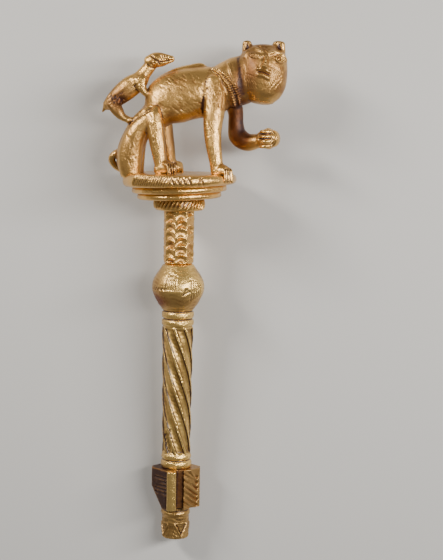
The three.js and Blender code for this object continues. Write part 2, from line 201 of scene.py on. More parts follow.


# %% [markdown]
# ## Limbs
# Legs, necks and tails are carved as round forms that swell and taper. An ellipse swept through a few
# given stations gives that with little data. A Catmull-Rom curve passes through every station.

# %% Limbs
def catmull(rows, t):
    rows = np.asarray(rows, float)
    last = len(rows) - 1
    at = np.minimum(np.floor(t).astype(int), last - 1)
    u = (t - at)[:, None]
    a, b, d, e = (rows[np.clip(at + k, 0, last)] for k in (-1, 0, 1, 2))
    return 0.5 * (2 * b + (d - a) * u + (2 * a - 5 * b + 4 * d - e) * u**2 + (3 * b - a - 3 * d + e) * u**3)


def limb(stations, sides=28, gap=0.9, bulge=0.8):
    """Ellipse swept through stations [x, y, z, half width in the picture plane, half depth]."""
    rows = np.asarray(stations, float)
    length = np.linalg.norm(np.diff(rows[:, :3], axis=0), axis=1).sum()
    steps = max(6, int(length / gap))
    rows = catmull(rows, np.linspace(0, len(rows) - 1, steps + 1))
    way = unit_rows(np.gradient(rows[:, :3], axis=0))
    caps = np.radians([72, 48, 24])
    start = [(0, -bulge * math.sin(a), math.cos(a)) for a in caps]
    end = [(steps, bulge * math.sin(a), math.cos(a)) for a in caps[::-1]]
    rings = []
    for k, push, shrink in start + [(k, 0, 1) for k in range(steps + 1)] + end:
        wide = np.cross((0, 0, 1), way[k])
        wide /= np.linalg.norm(wide)
        deep = np.cross(way[k], wide)
        a = 2 * np.pi * np.arange(sides)[:, None] / sides
        centre = rows[k, :3] + way[k] * push * min(rows[k, 3], rows[k, 4])
        rings.append(centre + shrink * (rows[k, 3] * np.cos(a) * wide + rows[k, 4] * np.sin(a) * deep))
    return shell_from_rings(rings)


def mirrored(stations, shift=0.0):
    return [[x + shift, y, -z, *r] for x, y, z, *r in stations]


# %% [markdown]
# ## Node trees
# What repeats or follows a rule is made with Geometry Nodes: the twisted flutes, the scallops of the
# column and the strands of the rope ring. Dozens of math nodes wired by hand are hard to read, so a small
# class lets plain arithmetic build them, here and in the gold leaf's shader.

# %% Node arithmetic
def wire(tree, source, target):
    """Links a node's output to a socket, or sets the socket's own value."""
    if isinstance(source, Field):
        tree.links.new(source.socket, target)
    else:
        target.default_value = source


class Field:
    """An output socket of a node tree. Arithmetic on it adds math nodes."""

    def __init__(self, tree, socket):
        self.tree, self.socket = tree, socket

    def math(self, operation, *values):
        node = self.tree.nodes.new("ShaderNodeMath")
        node.operation = operation
        for value, target in zip((self, *values), node.inputs):
            wire(self.tree, value, target)
        return Field(self.tree, node.outputs[0])

    def __add__(self, other):
        return self.math("ADD", other)

    def __sub__(self, other):
        return self.math("SUBTRACT", other)

    def __mul__(self, other):
        return self.math("MULTIPLY", other)

    def __truediv__(self, other):
        return self.math("DIVIDE", other)


def vector(tree, x, y, z):
    node = tree.nodes.new("ShaderNodeCombineXYZ")
    for value, target in zip((x, y, z), node.inputs):
        wire(tree, value, target)
    return Field(tree, node.outputs[0])


def position(tree):
    split = tree.nodes.new("ShaderNodeSeparateXYZ")
    tree.links.new(tree.nodes.new("GeometryNodeInputPosition").outputs[0], split.inputs[0])
    return [Field(tree, output) for output in split.outputs]


# %% [markdown]
# A tree has named inputs for its sizes. It runs as a modifier, and what it made is read back.

# %% Trees and how they are run
def new_tree(name, sizes):
    """A geometry tree with a named input for each size, its inputs as fields, and its output node."""
    tree = bpy.data.node_groups.new(name, "GeometryNodeTree")
    tree.interface.new_socket("Geometry", in_out="INPUT", socket_type="NodeSocketGeometry")
    for label, value in sizes.items():
        kind = "NodeSocketInt" if isinstance(value, int) else "NodeSocketFloat"
        tree.interface.new_socket(label, in_out="INPUT", socket_type=kind).default_value = value
    tree.interface.new_socket("Geometry", in_out="OUTPUT", socket_type="NodeSocketGeometry")
    start, end = tree.nodes.new("NodeGroupInput"), tree.nodes.new("NodeGroupOutput")
    given = {label: Field(tree, start.outputs[label]) for label in ("Geometry", *sizes)}
    return tree, given, end


def sunk_towards_axis(tree, given, end, depth):
    """Ends a tree that moves each point towards the Y axis by depth."""
    x, y, z = position(tree)
    out = (x * x + z * z).math("SQRT")
    share = (out - depth) / out
    move = tree.nodes.new("GeometryNodeSetPosition")
    wire(tree, given["Geometry"], move.inputs["Geometry"])
    wire(tree, vector(tree, x * share, y, z * share), move.inputs["Position"])
    tree.links.new(move.outputs[0], end.inputs[0])


def window(tree, y, low, high, soft):
    """1 between low and high, falling to 0 over soft at each end."""
    node = tree.nodes.new("ShaderNodeClamp")
    wire(tree, ((y - low) / soft).math("MINIMUM", (high - y) / soft), node.inputs[0])
    return Field(tree, node.outputs[0])


def grown(name, shell, tree, **values):
    """Runs a node tree on a shell and returns what it makes as plain points and faces."""
    made = mesh_object(name, shell)
    mod = made.modifiers.new(tree.name, "NODES")
    mod.node_group = tree
    sockets = {s.name: s.identifier for s in tree.interface.items_tree if s.in_out == "INPUT"}
    for label, value in values.items():
        mod[sockets[label.replace("_", " ")]] = value
    return shell_of(made)


# %% [markdown]
# ## The flutes
# The grip has eight hollows that wind round it, with narrow flat fillets between them. Cutting each one
# with a swept tool would leave slivers where they run out. A rule of the angle and the height sinks the
# turned surface instead, so it stays one closed shell.

# %% Flute tree
FLUTE_COUNT, FLUTE_DEPTH, FLUTE_PITCH = 8, 2.4, 218.0
FLUTE_FILLET, FLUTE_ROUNDING, FLUTE_RUN_OUT = 0.36, 0.55, 2.6


def flute_tree():
    tree, given, end = new_tree("twisted flutes", {
        "Flutes": FLUTE_COUNT, "Depth": FLUTE_DEPTH, "Turn pitch": FLUTE_PITCH, "Low": 0.0, "High": 1.0})
    x, y, z = position(tree)
    turn = x.math("ARCTAN2", z) / (2 * math.pi) + (y - given["Low"]) / given["Turn pitch"]
    wave = (turn * given["Flutes"] * math.pi).math("SINE").math("ABSOLUTE")
    hollow = ((wave - FLUTE_FILLET) / (1 - FLUTE_FILLET)).math("MAXIMUM", 0.0).math("POWER", FLUTE_ROUNDING)
    ends = window(tree, y, given["Low"], given["High"], FLUTE_RUN_OUT)
    sunk_towards_axis(tree, given, end, hollow * given["Depth"] * ends)
    return tree


# %% [markdown]
# ## The staff's profile
# The staff was turned before it was carved: rings, grip and ball are one line spun round the Y axis. Its
# radius is a rule of the height, with half-round beads and a curve through the ball's knots.

# %% Staff profile
def bead(y, r, low, high, base, rise):
    """Raises a half-round ring between two heights."""
    t = (2 * y - low - high) / (high - low)
    return np.where(np.abs(t) < 1, base + rise * np.sqrt(np.maximum(1 - t * t, 0)), r)


def turned(heights, radii, sides):
    """Spins a line round the Y axis. Rings that shrink close its ends without long thin faces."""
    a = 2 * np.pi * np.arange(sides) / sides
    rings = [np.stack([r * np.sin(a), np.full(sides, y), r * np.cos(a)], 1) for y, r in zip(heights, radii)]
    shares = (0.97, 0.8, 0.5, 0.2)
    low = [rings[0] * [share, 1, share] for share in reversed(shares)]
    high = [rings[-1] * [share, 1, share] for share in shares]
    return shell_from_rings(low + rings + high)


# Low end, high end, radius and rise of the half-round rings
STAFF_RINGS = [(BUTT_TOP, RINGLET_TOP, 12.2, 1.1), (BLOCK_TOP, LOW_BEAD_TOP, 12.4, 1.7),
               (LOW_BEAD_TOP, HIGH_BEAD_TOP, 12.4, 1.2), (FLUTES_TOP, LOW_BAND_TOP, 13.2, 1.4),
               (LOW_BAND_TOP, HIGH_BAND_TOP, 13.2, 1.4)]


def staff_radius(y):
    r = np.full_like(y, 11.8)
    r = np.where(y < BUTT_TOP, 12.3 - 0.5 * np.exp(-y / 0.5), r)
    grip = (y - HIGH_BEAD_TOP) / (FLUTES_TOP - HIGH_BEAD_TOP)
    r = np.where((grip >= 0) & (grip <= 1), 12.9 + 1.3 * grip, r)
    for ring in STAFF_RINGS:
        r = bead(y, r, *ring)
    top = SEAM - SEAM_GAP / 2
    knots = np.array([[HIGH_BAND_TOP, 13.9], [212.6, 15.2], [216, 17.8], [223, 21.5], [228, 23.3],
                      [231, 23.6], [234, 23.4], [237.4, 22.6], [242.2, 20.2], [246.6, 17.2], [249.6, 15.2],
                      [top, 14.3]])
    ball = catmull(knots, np.linspace(0, len(knots) - 1, 400))
    r = np.where(y > HIGH_BAND_TOP, np.interp(y, ball[:, 0], ball[:, 1]), r)
    for joint, deep in ((LOW_BEAD_TOP, 0.5), (FLUTES_TOP, 0.9), (LOW_BAND_TOP, 1.0), (HIGH_BAND_TOP, 0.7)):
        r = r - deep * np.exp(-(((y - joint) / 0.7) ** 2))
    return r - 1.7 * np.exp(-(top - y) / 0.9)


# %% [markdown]
# ## Engraved lines
# The carver cut triangles on the butt, patches of hatching and waves on the ball, and short strokes where
# the flutes begin. Real grooves catch the light from every side, which bump in a material doesn't, so
# each line is pressed into the mesh. How deep it went is kept, to hold dirt there later.

# %% Engraving
BUTT_RADIUS, BALL_RADIUS, BALL_FROM = 12.6, 21.0, 110


def pressed(shell, arc_radius, lines):
    """Presses engraved lines, given as (line of [degrees, height], width, depth), into a turned shell."""
    points = shell[0].copy()
    angle = np.degrees(np.arctan2(points[:, 0], points[:, 2]))
    out = np.hypot(points[:, 0], points[:, 2])
    depth = np.zeros(len(points))
    for line, width, deep in lines:
        line = np.asarray(line, float)
        mid = line[:, 0].mean()
        near = (angle - mid + 180) % 360 - 180
        flat = np.stack([np.radians(near) * arc_radius, points[:, 1]], 1)
        scaled = np.stack([np.radians(line[:, 0] - mid) * arc_radius, line[:, 1]], 1)
        low, high = scaled.min(0) - 3 * width, scaled.max(0) + 3 * width
        hit = np.all((flat > low) & (flat < high), 1) & (out > arc_radius * 0.6)
        push = deep * np.exp(-((line_distance(flat[hit], scaled) / width) ** 2))
        depth[hit] = np.where(np.abs(push) > np.abs(depth[hit]), push, depth[hit])
    share = np.where(out > 1, (out - depth) / np.maximum(out, 1e-6), 1)
    points[:, 0] *= share
    points[:, 2] *= share
    return points, shell[1], np.maximum(depth, 0)


def staff_lines():
    """Lines as (line of [degrees, height], width, depth). A negative depth is a raised line."""
    lines = []
    for k in range(4):
        mid = 28 + 90 * k
        lines.append(([[mid - 28, 13.4], [mid, 1.6], [mid + 28, 13.4]], 0.8, -0.9))
        lines.append(([[mid - 21, 13.4], [mid, 4.6], [mid + 21, 13.4]], 0.6, 1.2))
        for step in np.linspace(-13, 13, 6):
            lines.append(([[mid + step, 13.6], [mid + step * 0.8, 6.4 + abs(step) * 0.34]], 0.5, 0.7))
        for step in np.linspace(-24, 24, 9):
            lines.append(([[mid + step, 15.4], [mid + step + 1, 18.4]], 0.55, 0.6))
        for step in np.linspace(-13, 13, 5):
            lines.append(([[mid + 45 + step, 1.4], [mid + 45 + step * 0.5, 12]], 0.5, 0.5))
    for turn in (0, 180):
        for k in range(6):
            lines.append(([[turn - 24 + 4.4 * k, 245 - 0.4 * k], [turn - 29 + 4.6 * k, 231]], 0.6, 0.8))
        for k in range(5):
            a = turn + 34 + 6.6 * k
            heights = np.linspace(240 - k, 221 + k, 10)
            lines.append(([[a + 1.5 * math.sin(s * 1.6 + k), y] for s, y in enumerate(heights)], 0.6, 0.8))
        lines.append(([[turn - 70 + 5 * k, 230 + 2.2 * (k % 2)] for k in range(9)], 0.6, 0.6))
        for k in range(5):
            low, high = [turn + 12 + 3.8 * k, 226 + 0.8 * k], [turn + 20 + 2.6 * k, 232 - 0.8 * k]
            lines.append(([low, high], 0.6, 0.8))
        for k in range(6):
            lines.append(([[turn - 66 + 6.4 * k, 79.5], [turn - 63 + 6.4 * k, 97 + 2.4 * (k % 3)]], 0.7, 0.8))
    return lines


# %% [markdown]
# ## The staff
# The turned shell gets its flutes from the node tree, then the engraved lines, then a slight wobble, as
# nothing carved by hand is quite round. It also gets a number for each point: above 0 where dirt
# gathers in the engraved lines and at the seam and where painted shade lies beside the fillets, and
# below 0 where it is brighter, on the fillets and as a painted highlight in the hollows.

# %% Staff
STAFF_SIDES = 208
WOBBLE = 0.2
# Fillets are brightened; painted shade lies along their edges, a painted highlight in the hollows, and dirt
# at the seam.
FILLET_BRIGHTENING, FILLET_EDGE_SHADE, HOLLOW_HIGHLIGHT, SEAM_DIRT = -1.2, 3.0, -0.3, 1.6


def fillet_light_and_shade(points):
    """Brighter fillets between the flutes, painted shade along their edges and a painted highlight in the
    hollows.
    """
    turn = np.arctan2(points[:, 0], points[:, 2]) / (2 * np.pi) + (points[:, 1] - HIGH_BEAD_TOP) / FLUTE_PITCH
    from_fillet = np.abs(turn * FLUTE_COUNT - np.round(turn * FLUTE_COUNT))
    # Painted shade along each fillet's edge, and a painted highlight over the rest of the hollow.
    edge = HOLLOW_HIGHLIGHT + FILLET_EDGE_SHADE * np.exp(-(((from_fillet - 0.13) / 0.065) ** 2))
    fluted = (points[:, 1] > HIGH_BEAD_TOP + 1) & (points[:, 1] < FLUTES_TOP - 1)
    return np.where(fluted, np.where(from_fillet < 0.1, FILLET_BRIGHTENING, edge), 0)


def staff_shell():
    top = SEAM - SEAM_GAP / 2
    steps = ((0, 22, 0.6), (22, 79, 0.75), (79, 196, 0.95), (196, top, 0.6))
    y = np.append(np.concatenate([np.arange(*step) for step in steps]), top)
    shell = grown("flutes", turned(y, staff_radius(y), STAFF_SIDES), flute_tree(),
                  Low=HIGH_BEAD_TOP, High=FLUTES_TOP)
    low = [line for line in staff_lines() if line[0][0][1] < BALL_FROM]
    high = [line for line in staff_lines() if line[0][0][1] >= BALL_FROM]
    points, faces, cut_low = pressed(shell, BUTT_RADIUS, low)
    points, faces, cut_high = pressed((points, faces), BALL_RADIUS, high)
    wobble = np.sin(points[:, 1] * 0.9 + 1.3 * np.sin(points[:, 0] * 0.35)) * np.sin(points[:, 2] * 0.4)
    out = np.hypot(points[:, 0], points[:, 2])[:, None] + 1e-6
    points = points - points * [1, 0, 1] / out * np.abs(WOBBLE * wobble)[:, None]
    seam = SEAM_DIRT * np.exp(-(top - points[:, 1]) / 0.9)
    return points, faces, cut_low + cut_high + fillet_light_and_shade(points) + seam


staff = counted("staff", staff_shell())


# %% [markdown]
# ## The block
# Below the grip stands an eight-sided block with a rib in a channel, diagonal grooves on one wing and
# rungs on the other, and a worn corner. Straight cuts into a solid are what a saw and chisel do, so the
# block is made by Boolean cuts. A voxel remesh and two rounds of smoothing then take off the sharpness.

# %% Block cuts
BLOCK_REACH, BLOCK_CORNER = 22.0, 25.4
RIB_MIDDLE, RIB_HALF, RIB_BULGE = -3.4, 4.2, 1.1
GROOVE_COUNT, GROOVE_SLOPE, RUNG_COUNT, RUNG_STEP = 7, math.radians(33), 5, 3.4


def prism(outline, low, high):
    outline = np.asarray(outline, float)
    rings = [np.stack([outline[:, 0], np.full(len(outline), y), outline[:, 1]], 1) for y in (low, high)]
    return shell_from_rings(rings)


def bar(size, matrix):
    """A box of the given size, placed by a matrix."""
    half = np.array(size) / 2
    corners = [[-1, -1], [1, -1], [1, 1], [-1, 1]]
    points, faces = shell_from_rings([[np.array([x, y, z]) * half for x, y in corners] for z in (-1, 1)])
    matrix = np.array(matrix)
    return points @ matrix[:3, :3].T + matrix[:3, 3], faces


def vee(way, out, at, length, width):
    """Bar that cuts a V along one direction into a face."""
    way, out = Vector(way).normalized(), Vector(out).normalized()
    side = out.cross(way)
    basis = Matrix((side, out, way)).transposed().to_4x4()
    return bar([width / math.sqrt(2)] * 2 + [length],
               Matrix.Translation(at) @ basis @ Matrix.Rotation(math.pi / 4, 4, "Z"))


def cut(shell, tools):
    """Cuts each tool out of a shell."""
    base = mesh_object("base", shell)
    for tool in tools:
        cutter = mesh_object("cutter", tool)
        mod = base.modifiers.new("cut", "BOOLEAN")
        mod.operation, mod.solver, mod.object = "DIFFERENCE", "MANIFOLD", cutter
        done = shell_of(base)
        bpy.data.objects.remove(cutter)
        base = mesh_object("base", done)
    return shell_of(base)


# %% [markdown]
# The back of the block repeats its front by half a turn. Every tool is placed for the front and spun.

# %% Block
def block_tools(spin):
    """The cutting tools of one face of the block, turned by spin, and the rib that is put back."""
    height, middle = BLOCK_TOP - BLOCK_BOTTOM, (BLOCK_TOP + BLOCK_BOTTOM) / 2
    half, centre = math.sqrt(0.5), BLOCK_CORNER / 2
    right, left = spin @ Vector((half, 0, half)), spin @ Vector((-half, 0, half))
    cuts = [bar([16, height + 2, 20], spin @ Matrix.Translation((-0.4, middle, 22)))]
    along = math.cos(GROOVE_SLOPE) * half
    for i in range(GROOVE_COUNT):
        y = BLOCK_BOTTOM + height * (i + 0.5) / GROOVE_COUNT
        way = spin @ Vector((along, -math.sin(GROOVE_SLOPE), -along))
        cuts.append(vee(way, right, spin @ Vector((centre, y, centre)), 25, 4.6))
    for i in range(RUNG_COUNT):
        at = Vector((-centre - 1, BLOCK_TOP - 8 - RUNG_STEP * i, centre - 1))
        cuts.append(vee(right, left, spin @ at, 15, 2.8))
    for aside in (-3.8, 3.8):
        at = Vector((-centre - 1 + aside, BLOCK_TOP - 15, centre - 1 + aside))
        cuts.append(vee((0, 1, 0), left, spin @ at, 17, 2.0))
    rib = bar([8.2, height - 0.4, 11], spin @ Matrix.Translation((RIB_MIDDLE, middle, 16.2)))
    return cuts, rib


def block_shell():
    r, side = BLOCK_REACH, BLOCK_CORNER - BLOCK_REACH
    outline = [[r, side], [side, r], [-side, r], [-r, side], [-r, -side], [-side, -r], [side, -r], [r, -side]]
    front, back = (block_tools(Matrix.Rotation(turn, 4, "Y")) for turn in (0, math.pi))
    worn = Matrix.Translation((-r, (BLOCK_TOP + BLOCK_BOTTOM) / 2 + 1, 0))
    worn = worn @ Matrix.Rotation(math.radians(27), 4, "Z") @ Matrix.Translation((-10, -20, 0))
    tools = [*front[0], *back[0], bar([20, 40, 60], worn)]
    made = cut(prism(outline, BLOCK_BOTTOM, BLOCK_TOP), tools)
    made = remeshed("block", joined([made, front[1], back[1]]), 0.55)
    points, faces = smoothed(made, 2, keep=0.4)
    side = np.sign(points[:, 2])
    across = np.clip((points[:, 0] - RIB_MIDDLE * side) / RIB_HALF, -1, 1)
    rib = (np.abs(across) < 1) & (np.abs(points[:, 2]) > 20.5)
    points[:, 2] += np.where(rib, side * RIB_BULGE * (1 - across**2), 0)
    # Painted shade darkens the left wing; a painted highlight brightens the right wing and the rib.
    wing_shade_and_light = np.where(points[:, 0] < -7.6, 1.5, np.where(points[:, 0] > 7.6, -0.9, 0.1))
    return points, faces, np.where(rib, -0.5, wing_shade_and_light)


block = counted("block", block_shell())


# %% [markdown]
# ## The scallops
# Short scooped cells stand in eight columns round the post, each half a cell higher than the next and a
# little uneven. One stamped shape would look machined, so each cell takes its own depth from a rule of
# its row and column.

# %% Scallop tree
def scallop_tree():
    tree, given, end = new_tree("scallops", {
        "Columns": 8, "Rows": 6, "Depth": 3.0, "Low": 0.0, "High": 1.0, "Phase": 0.24})
    x, y, z = position(tree)
    across = x.math("ARCTAN2", z) / (2 * math.pi) * given["Columns"] + given["Phase"]
    column = across.math("FLOOR")
    stagger = (column + 64.0).math("MODULO", 2.0) * 0.5 + (column * 2.3).math("SINE") * 0.17
    rise = (y - given["Low"]) / (given["High"] - given["Low"]) * given["Rows"] + stagger
    cell = rise.math("FLOOR") * 3.7 + column * 5.1
    vary = cell.math("SINE") * 0.24 + 0.8
    u = (across * math.pi).math("SINE").math("ABSOLUTE")
    bow = (u - 1.0) * -0.3
    v = ((rise + bow) * math.pi).math("SINE").math("ABSOLUTE")
    hollow = u.math("POWER", 0.75) * v.math("POWER", 0.9) * vary
    ends = window(tree, y, given["Low"], given["High"], 1.2)
    sunk_towards_axis(tree, given, end, hollow * given["Depth"] * ends)
    return tree


# %% [markdown]
# ## The rope ring's strands
# Slanted leaf-shaped strands stand round the ring. They are many and nearly alike, so a ball is instanced
# on a circle, stretched and turned, with a seeded chance for slant and length, and then made real mesh.

# %% Strand tree
def strand_tree():
    tree, given, end = new_tree("rope strands", {
        "Count": 38, "Radius": 21.4, "Length": 4.8, "Width": 1.05, "Relief": 1.9, "Slant": -0.5, "Seed": 5})
    circle = tree.nodes.new("GeometryNodeMeshCircle")
    wire(tree, given["Count"], circle.inputs["Vertices"])
    wire(tree, given["Radius"], circle.inputs["Radius"])
    ball = tree.nodes.new("GeometryNodeMeshUVSphere")
    for label, value in (("Segments", 10), ("Rings", 8), ("Radius", 1.0)):
        ball.inputs[label].default_value = value
    chance = tree.nodes.new("FunctionNodeRandomValue")
    chance.data_type = "FLOAT"
    chance.inputs[2].default_value, chance.inputs[3].default_value = 0.85, 1.15
    wire(tree, given["Seed"], chance.inputs["Seed"])
    chance = Field(tree, chance.outputs[1])
    x, y, z = position(tree)
    put = tree.nodes.new("GeometryNodeInstanceOnPoints")
    tree.links.new(circle.outputs["Mesh"], put.inputs["Points"])
    tree.links.new(ball.outputs["Mesh"], put.inputs["Instance"])
    wire(tree, vector(tree, given["Slant"] * chance, 0.0, y.math("ARCTAN2", x)), put.inputs["Rotation"])
    wire(tree, vector(tree, given["Relief"], given["Width"], given["Length"] * chance), put.inputs["Scale"])
    real = tree.nodes.new("GeometryNodeRealizeInstances")
    tree.links.new(put.outputs[0], real.inputs[0])
    tree.links.new(real.outputs[0], end.inputs[0])
    return tree


def rope_strands(height):
    points, faces = grown("rope strands", (np.zeros((1, 3)), []), strand_tree())
    return np.stack([points[:, 0], points[:, 2] + height, -points[:, 1]], 1), faces


# %% [markdown]
# ## Rims of the platform
# The slab and its two steps were turned, then flattened a little by the knife, and lean to the left. The
# turned shells are pulled towards a many-sided outline and sheared by a small angle. Strokes and
# triangles are pressed into the slab's edge like the lines on the staff.

# %% Rims
PLATFORM_LEAN = math.radians(2.2)
RIM_BRIGHTENING, RIM_DIRT_AND_SHADE, ENGRAVED_FROM = 0.75, 0.9, 0.25


def leaned(shell):
    """Lowers the left side, by the full lean from the top of the middle step downwards."""
    points = shell[0].copy()
    share = np.clip((PLATFORM_TOP - points[:, 1]) / (PLATFORM_TOP - MID_STEP_TOP), 0, 1)
    points[:, 1] += points[:, 0] * math.tan(PLATFORM_LEAN) * share
    return (points, *shell[1:])


def facet(points, count, share):
    """Flattens a turned shell towards a many-sided outline."""
    angle = np.arctan2(points[:, 0], points[:, 2])
    part = (angle * count / (2 * np.pi)) % 1.0 - 0.5
    reach = 1 - share + share * math.cos(math.pi / count) / np.cos(part * 2 * np.pi / count)
    return points * np.stack([reach, np.ones_like(reach), reach], 1)


def profile(points, gap):
    """Evenly spaced places along a line of [height, radius] corners."""
    points = np.asarray(points, float)
    out = [points[:1]]
    for a, b in zip(points[:-1], points[1:]):
        n = max(1, int(np.linalg.norm(b - a) / gap))
        out.append(a + (b - a) * np.linspace(0, 1, n + 1)[1:, None])
    return np.vstack(out)


def disc(corners, sides, gap, facets, share):
    rows = profile(corners, gap)
    points, faces = turned(rows[:, 0], rows[:, 1], sides)
    return facet(points, facets, share), faces


def plain(shell):
    return shell[0], shell[1], np.zeros(len(shell[0]))


def slab_lines():
    """Strokes round the slab's edge: slanting ones at the left, triangles in the middle, plainer behind."""
    low, high = MID_STEP_TOP + 2.0, PLATFORM_TOP - 1.4
    lines = [[[a - 2.2, low], [a + 2.2, high]] for a in np.arange(-50, -10, 2.7)]
    lines += [[[a - 2.2, low], [a + 2.2, high]] for a in np.arange(96, 268, 3.1)]
    lines += [[[a - 2.6, low], [a, high], [a + 2.6, low]] for a in (-6.5, -0.8, 5, 10.8, 23.4)]
    return [(line, 0.62, 1.25) for line in lines]


# %% [markdown]
# Each turned form is a line of [height, radius] corners. They end inside one another and leave no gaps.

# %% Platform and column
def slab_shell():
    rows = [[MID_STEP_TOP - 0.5, 44], [MID_STEP_TOP + 0.3, 48.4], [MID_STEP_TOP + 1.6, 50.2],
            [MID_STEP_TOP + 4, 51], [PLATFORM_TOP - 3, 50.6], [PLATFORM_TOP - 1, 49.6],
            [PLATFORM_TOP, 47.6], [PLATFORM_TOP, 30]]
    return pressed(disc(rows, 620, 0.9, 24, 0.6), 50.0, slab_lines())


def middle_shell():
    rows = [[LOW_STEP_TOP - 0.4, 38], [LOW_STEP_TOP + 0.2, 41.6], [LOW_STEP_TOP + 1.4, 42.6],
            [MID_STEP_TOP - 1.6, 42.4], [MID_STEP_TOP + 0.2, 40]]
    crossed = [[[a - lean, LOW_STEP_TOP + 0.8], [a + lean, MID_STEP_TOP - 0.8]]
               for a in (47, 50, 53, 56, 59, 62) for lean in (-2, 2)]
    return pressed(disc(rows, 320, 0.8, 22, 0.6), 42.0, [(line, 0.5, 0.8) for line in crossed])


def low_shell():
    rows = [[ROPE_TOP - 0.4, 33], [ROPE_TOP + 0.2, 36.8], [ROPE_TOP + 1.4, 37.8],
            [LOW_STEP_TOP - 1.4, 37.6], [LOW_STEP_TOP + 0.2, 35]]
    return plain(disc(rows, 144, 0.9, 22, 0.5))


def rope_shell():
    rows = [[COLUMN_TOP - 0.6, 17], [COLUMN_TOP, 21.2], [COLUMN_TOP + 1.6, 21.8], [COLUMN_TOP + 4, 21.6],
            [ROPE_TOP - 3, 21.4], [ROPE_TOP - 0.4, 20.6], [ROPE_TOP + 0.2, 19]]
    points, faces = disc(rows, 120, 0.9, 18, 0.0)
    # The ring under the strands is darkened all over: dirt and painted shade between the strands.
    return points, faces, np.full(len(points), 0.9)


def column_shell():
    bottom = SEAM + SEAM_GAP / 2
    y = np.append(np.arange(bottom, COLUMN_TOP, 0.5), COLUMN_TOP + 0.5)
    post = turned(y, 13.9 - 1.9 * np.exp(-(y - bottom) / 0.9), 192)
    points, faces = grown("column", post, scallop_tree(), Low=bottom + 1.2, High=COLUMN_TOP - 0.4)
    return points, faces, SEAM_DIRT * np.exp(-(points[:, 1] - bottom) / 0.9)


def base_shells():
    made = [leaned(slab_shell()), leaned(middle_shell()), leaned(low_shell()), rope_shell(), column_shell(),
            plain(rope_strands(COLUMN_TOP + 5.2))]
    # Engraved lines hold dirt, and the rope ring's core holds dirt and painted shade; everything else is made
    # brighter.
    return [(points, faces, np.where(sunk > ENGRAVED_FROM, sunk * RIM_DIRT_AND_SHADE, -RIM_BRIGHTENING))
            for points, faces, sunk in made]


bases = base_shells()
counted("platform and column", joined([shell[:2] for shell in bases]))


# %% [markdown]
# ## The big cat
# The cat stands on three legs with its head turned to the viewer and one forepaw raised in a fist.
# Sculpting by hand can't be repeated by a script, so each part is a limb through a few stations, measured
# in hundredths of the figure's height. The hind leg on the far side mirrors the near one.

# %% Big cat
# Millimetres in a hundredth of the height, and how deep the feet stand in the platform
UNIT = 1.178
FIGURE_SINK = 1.8


def paw_toes(x, y, z, yaw, drop, reach=2.8, spread=2.5, width=1.25):
    """Four toes of a paw that points yaw degrees to the front of +X."""
    c, s = math.cos(math.radians(yaw)), math.sin(math.radians(yaw))
    made = []
    for i in (-1.5, -0.5, 0.5, 1.5):
        cx, cz = x - s * spread * i, z + c * spread * i
        rows = [[cx + c * reach * t, y - down, cz + s * reach * t, width * w, width * w]
                for t, down, w in ((-0.5, -1, 1), (0.5, 0, 1), (0.9, drop * 0.5, 0.9), (1, drop, 0.75))]
        made.append(limb(rows, 14, 0.6, 0.7))
    return made


THIGH = [[-17, 47.5, 14, 4, 3.6], [-24, 41.5, 13.5, 6.2, 5], [-31.5, 33, 12, 7.4, 6.4],
         [-35.8, 22, 11, 8.8, 7], [-37.2, 11, 10.5, 9.2, 7], [-36.5, 1.5, 10, 8, 6.4]]
SHANK = [[-18.8, 46.5, 15, 5, 4.2], [-18.2, 39, 15.8, 6.3, 5], [-17, 29, 16.5, 6.2, 5.2],
         [-15.2, 18.5, 17.2, 5.6, 5], [-13.6, 9, 18, 4.8, 4.4], [-12.6, 2.5, 18, 4.6, 4.2]]
HIND_PAW = [[-15, 4.6, 17, 4.6, 5], [-9.6, 6, 18.6, 5.8, 6], [-5.4, 4.8, 20.4, 4.6, 5.4]]


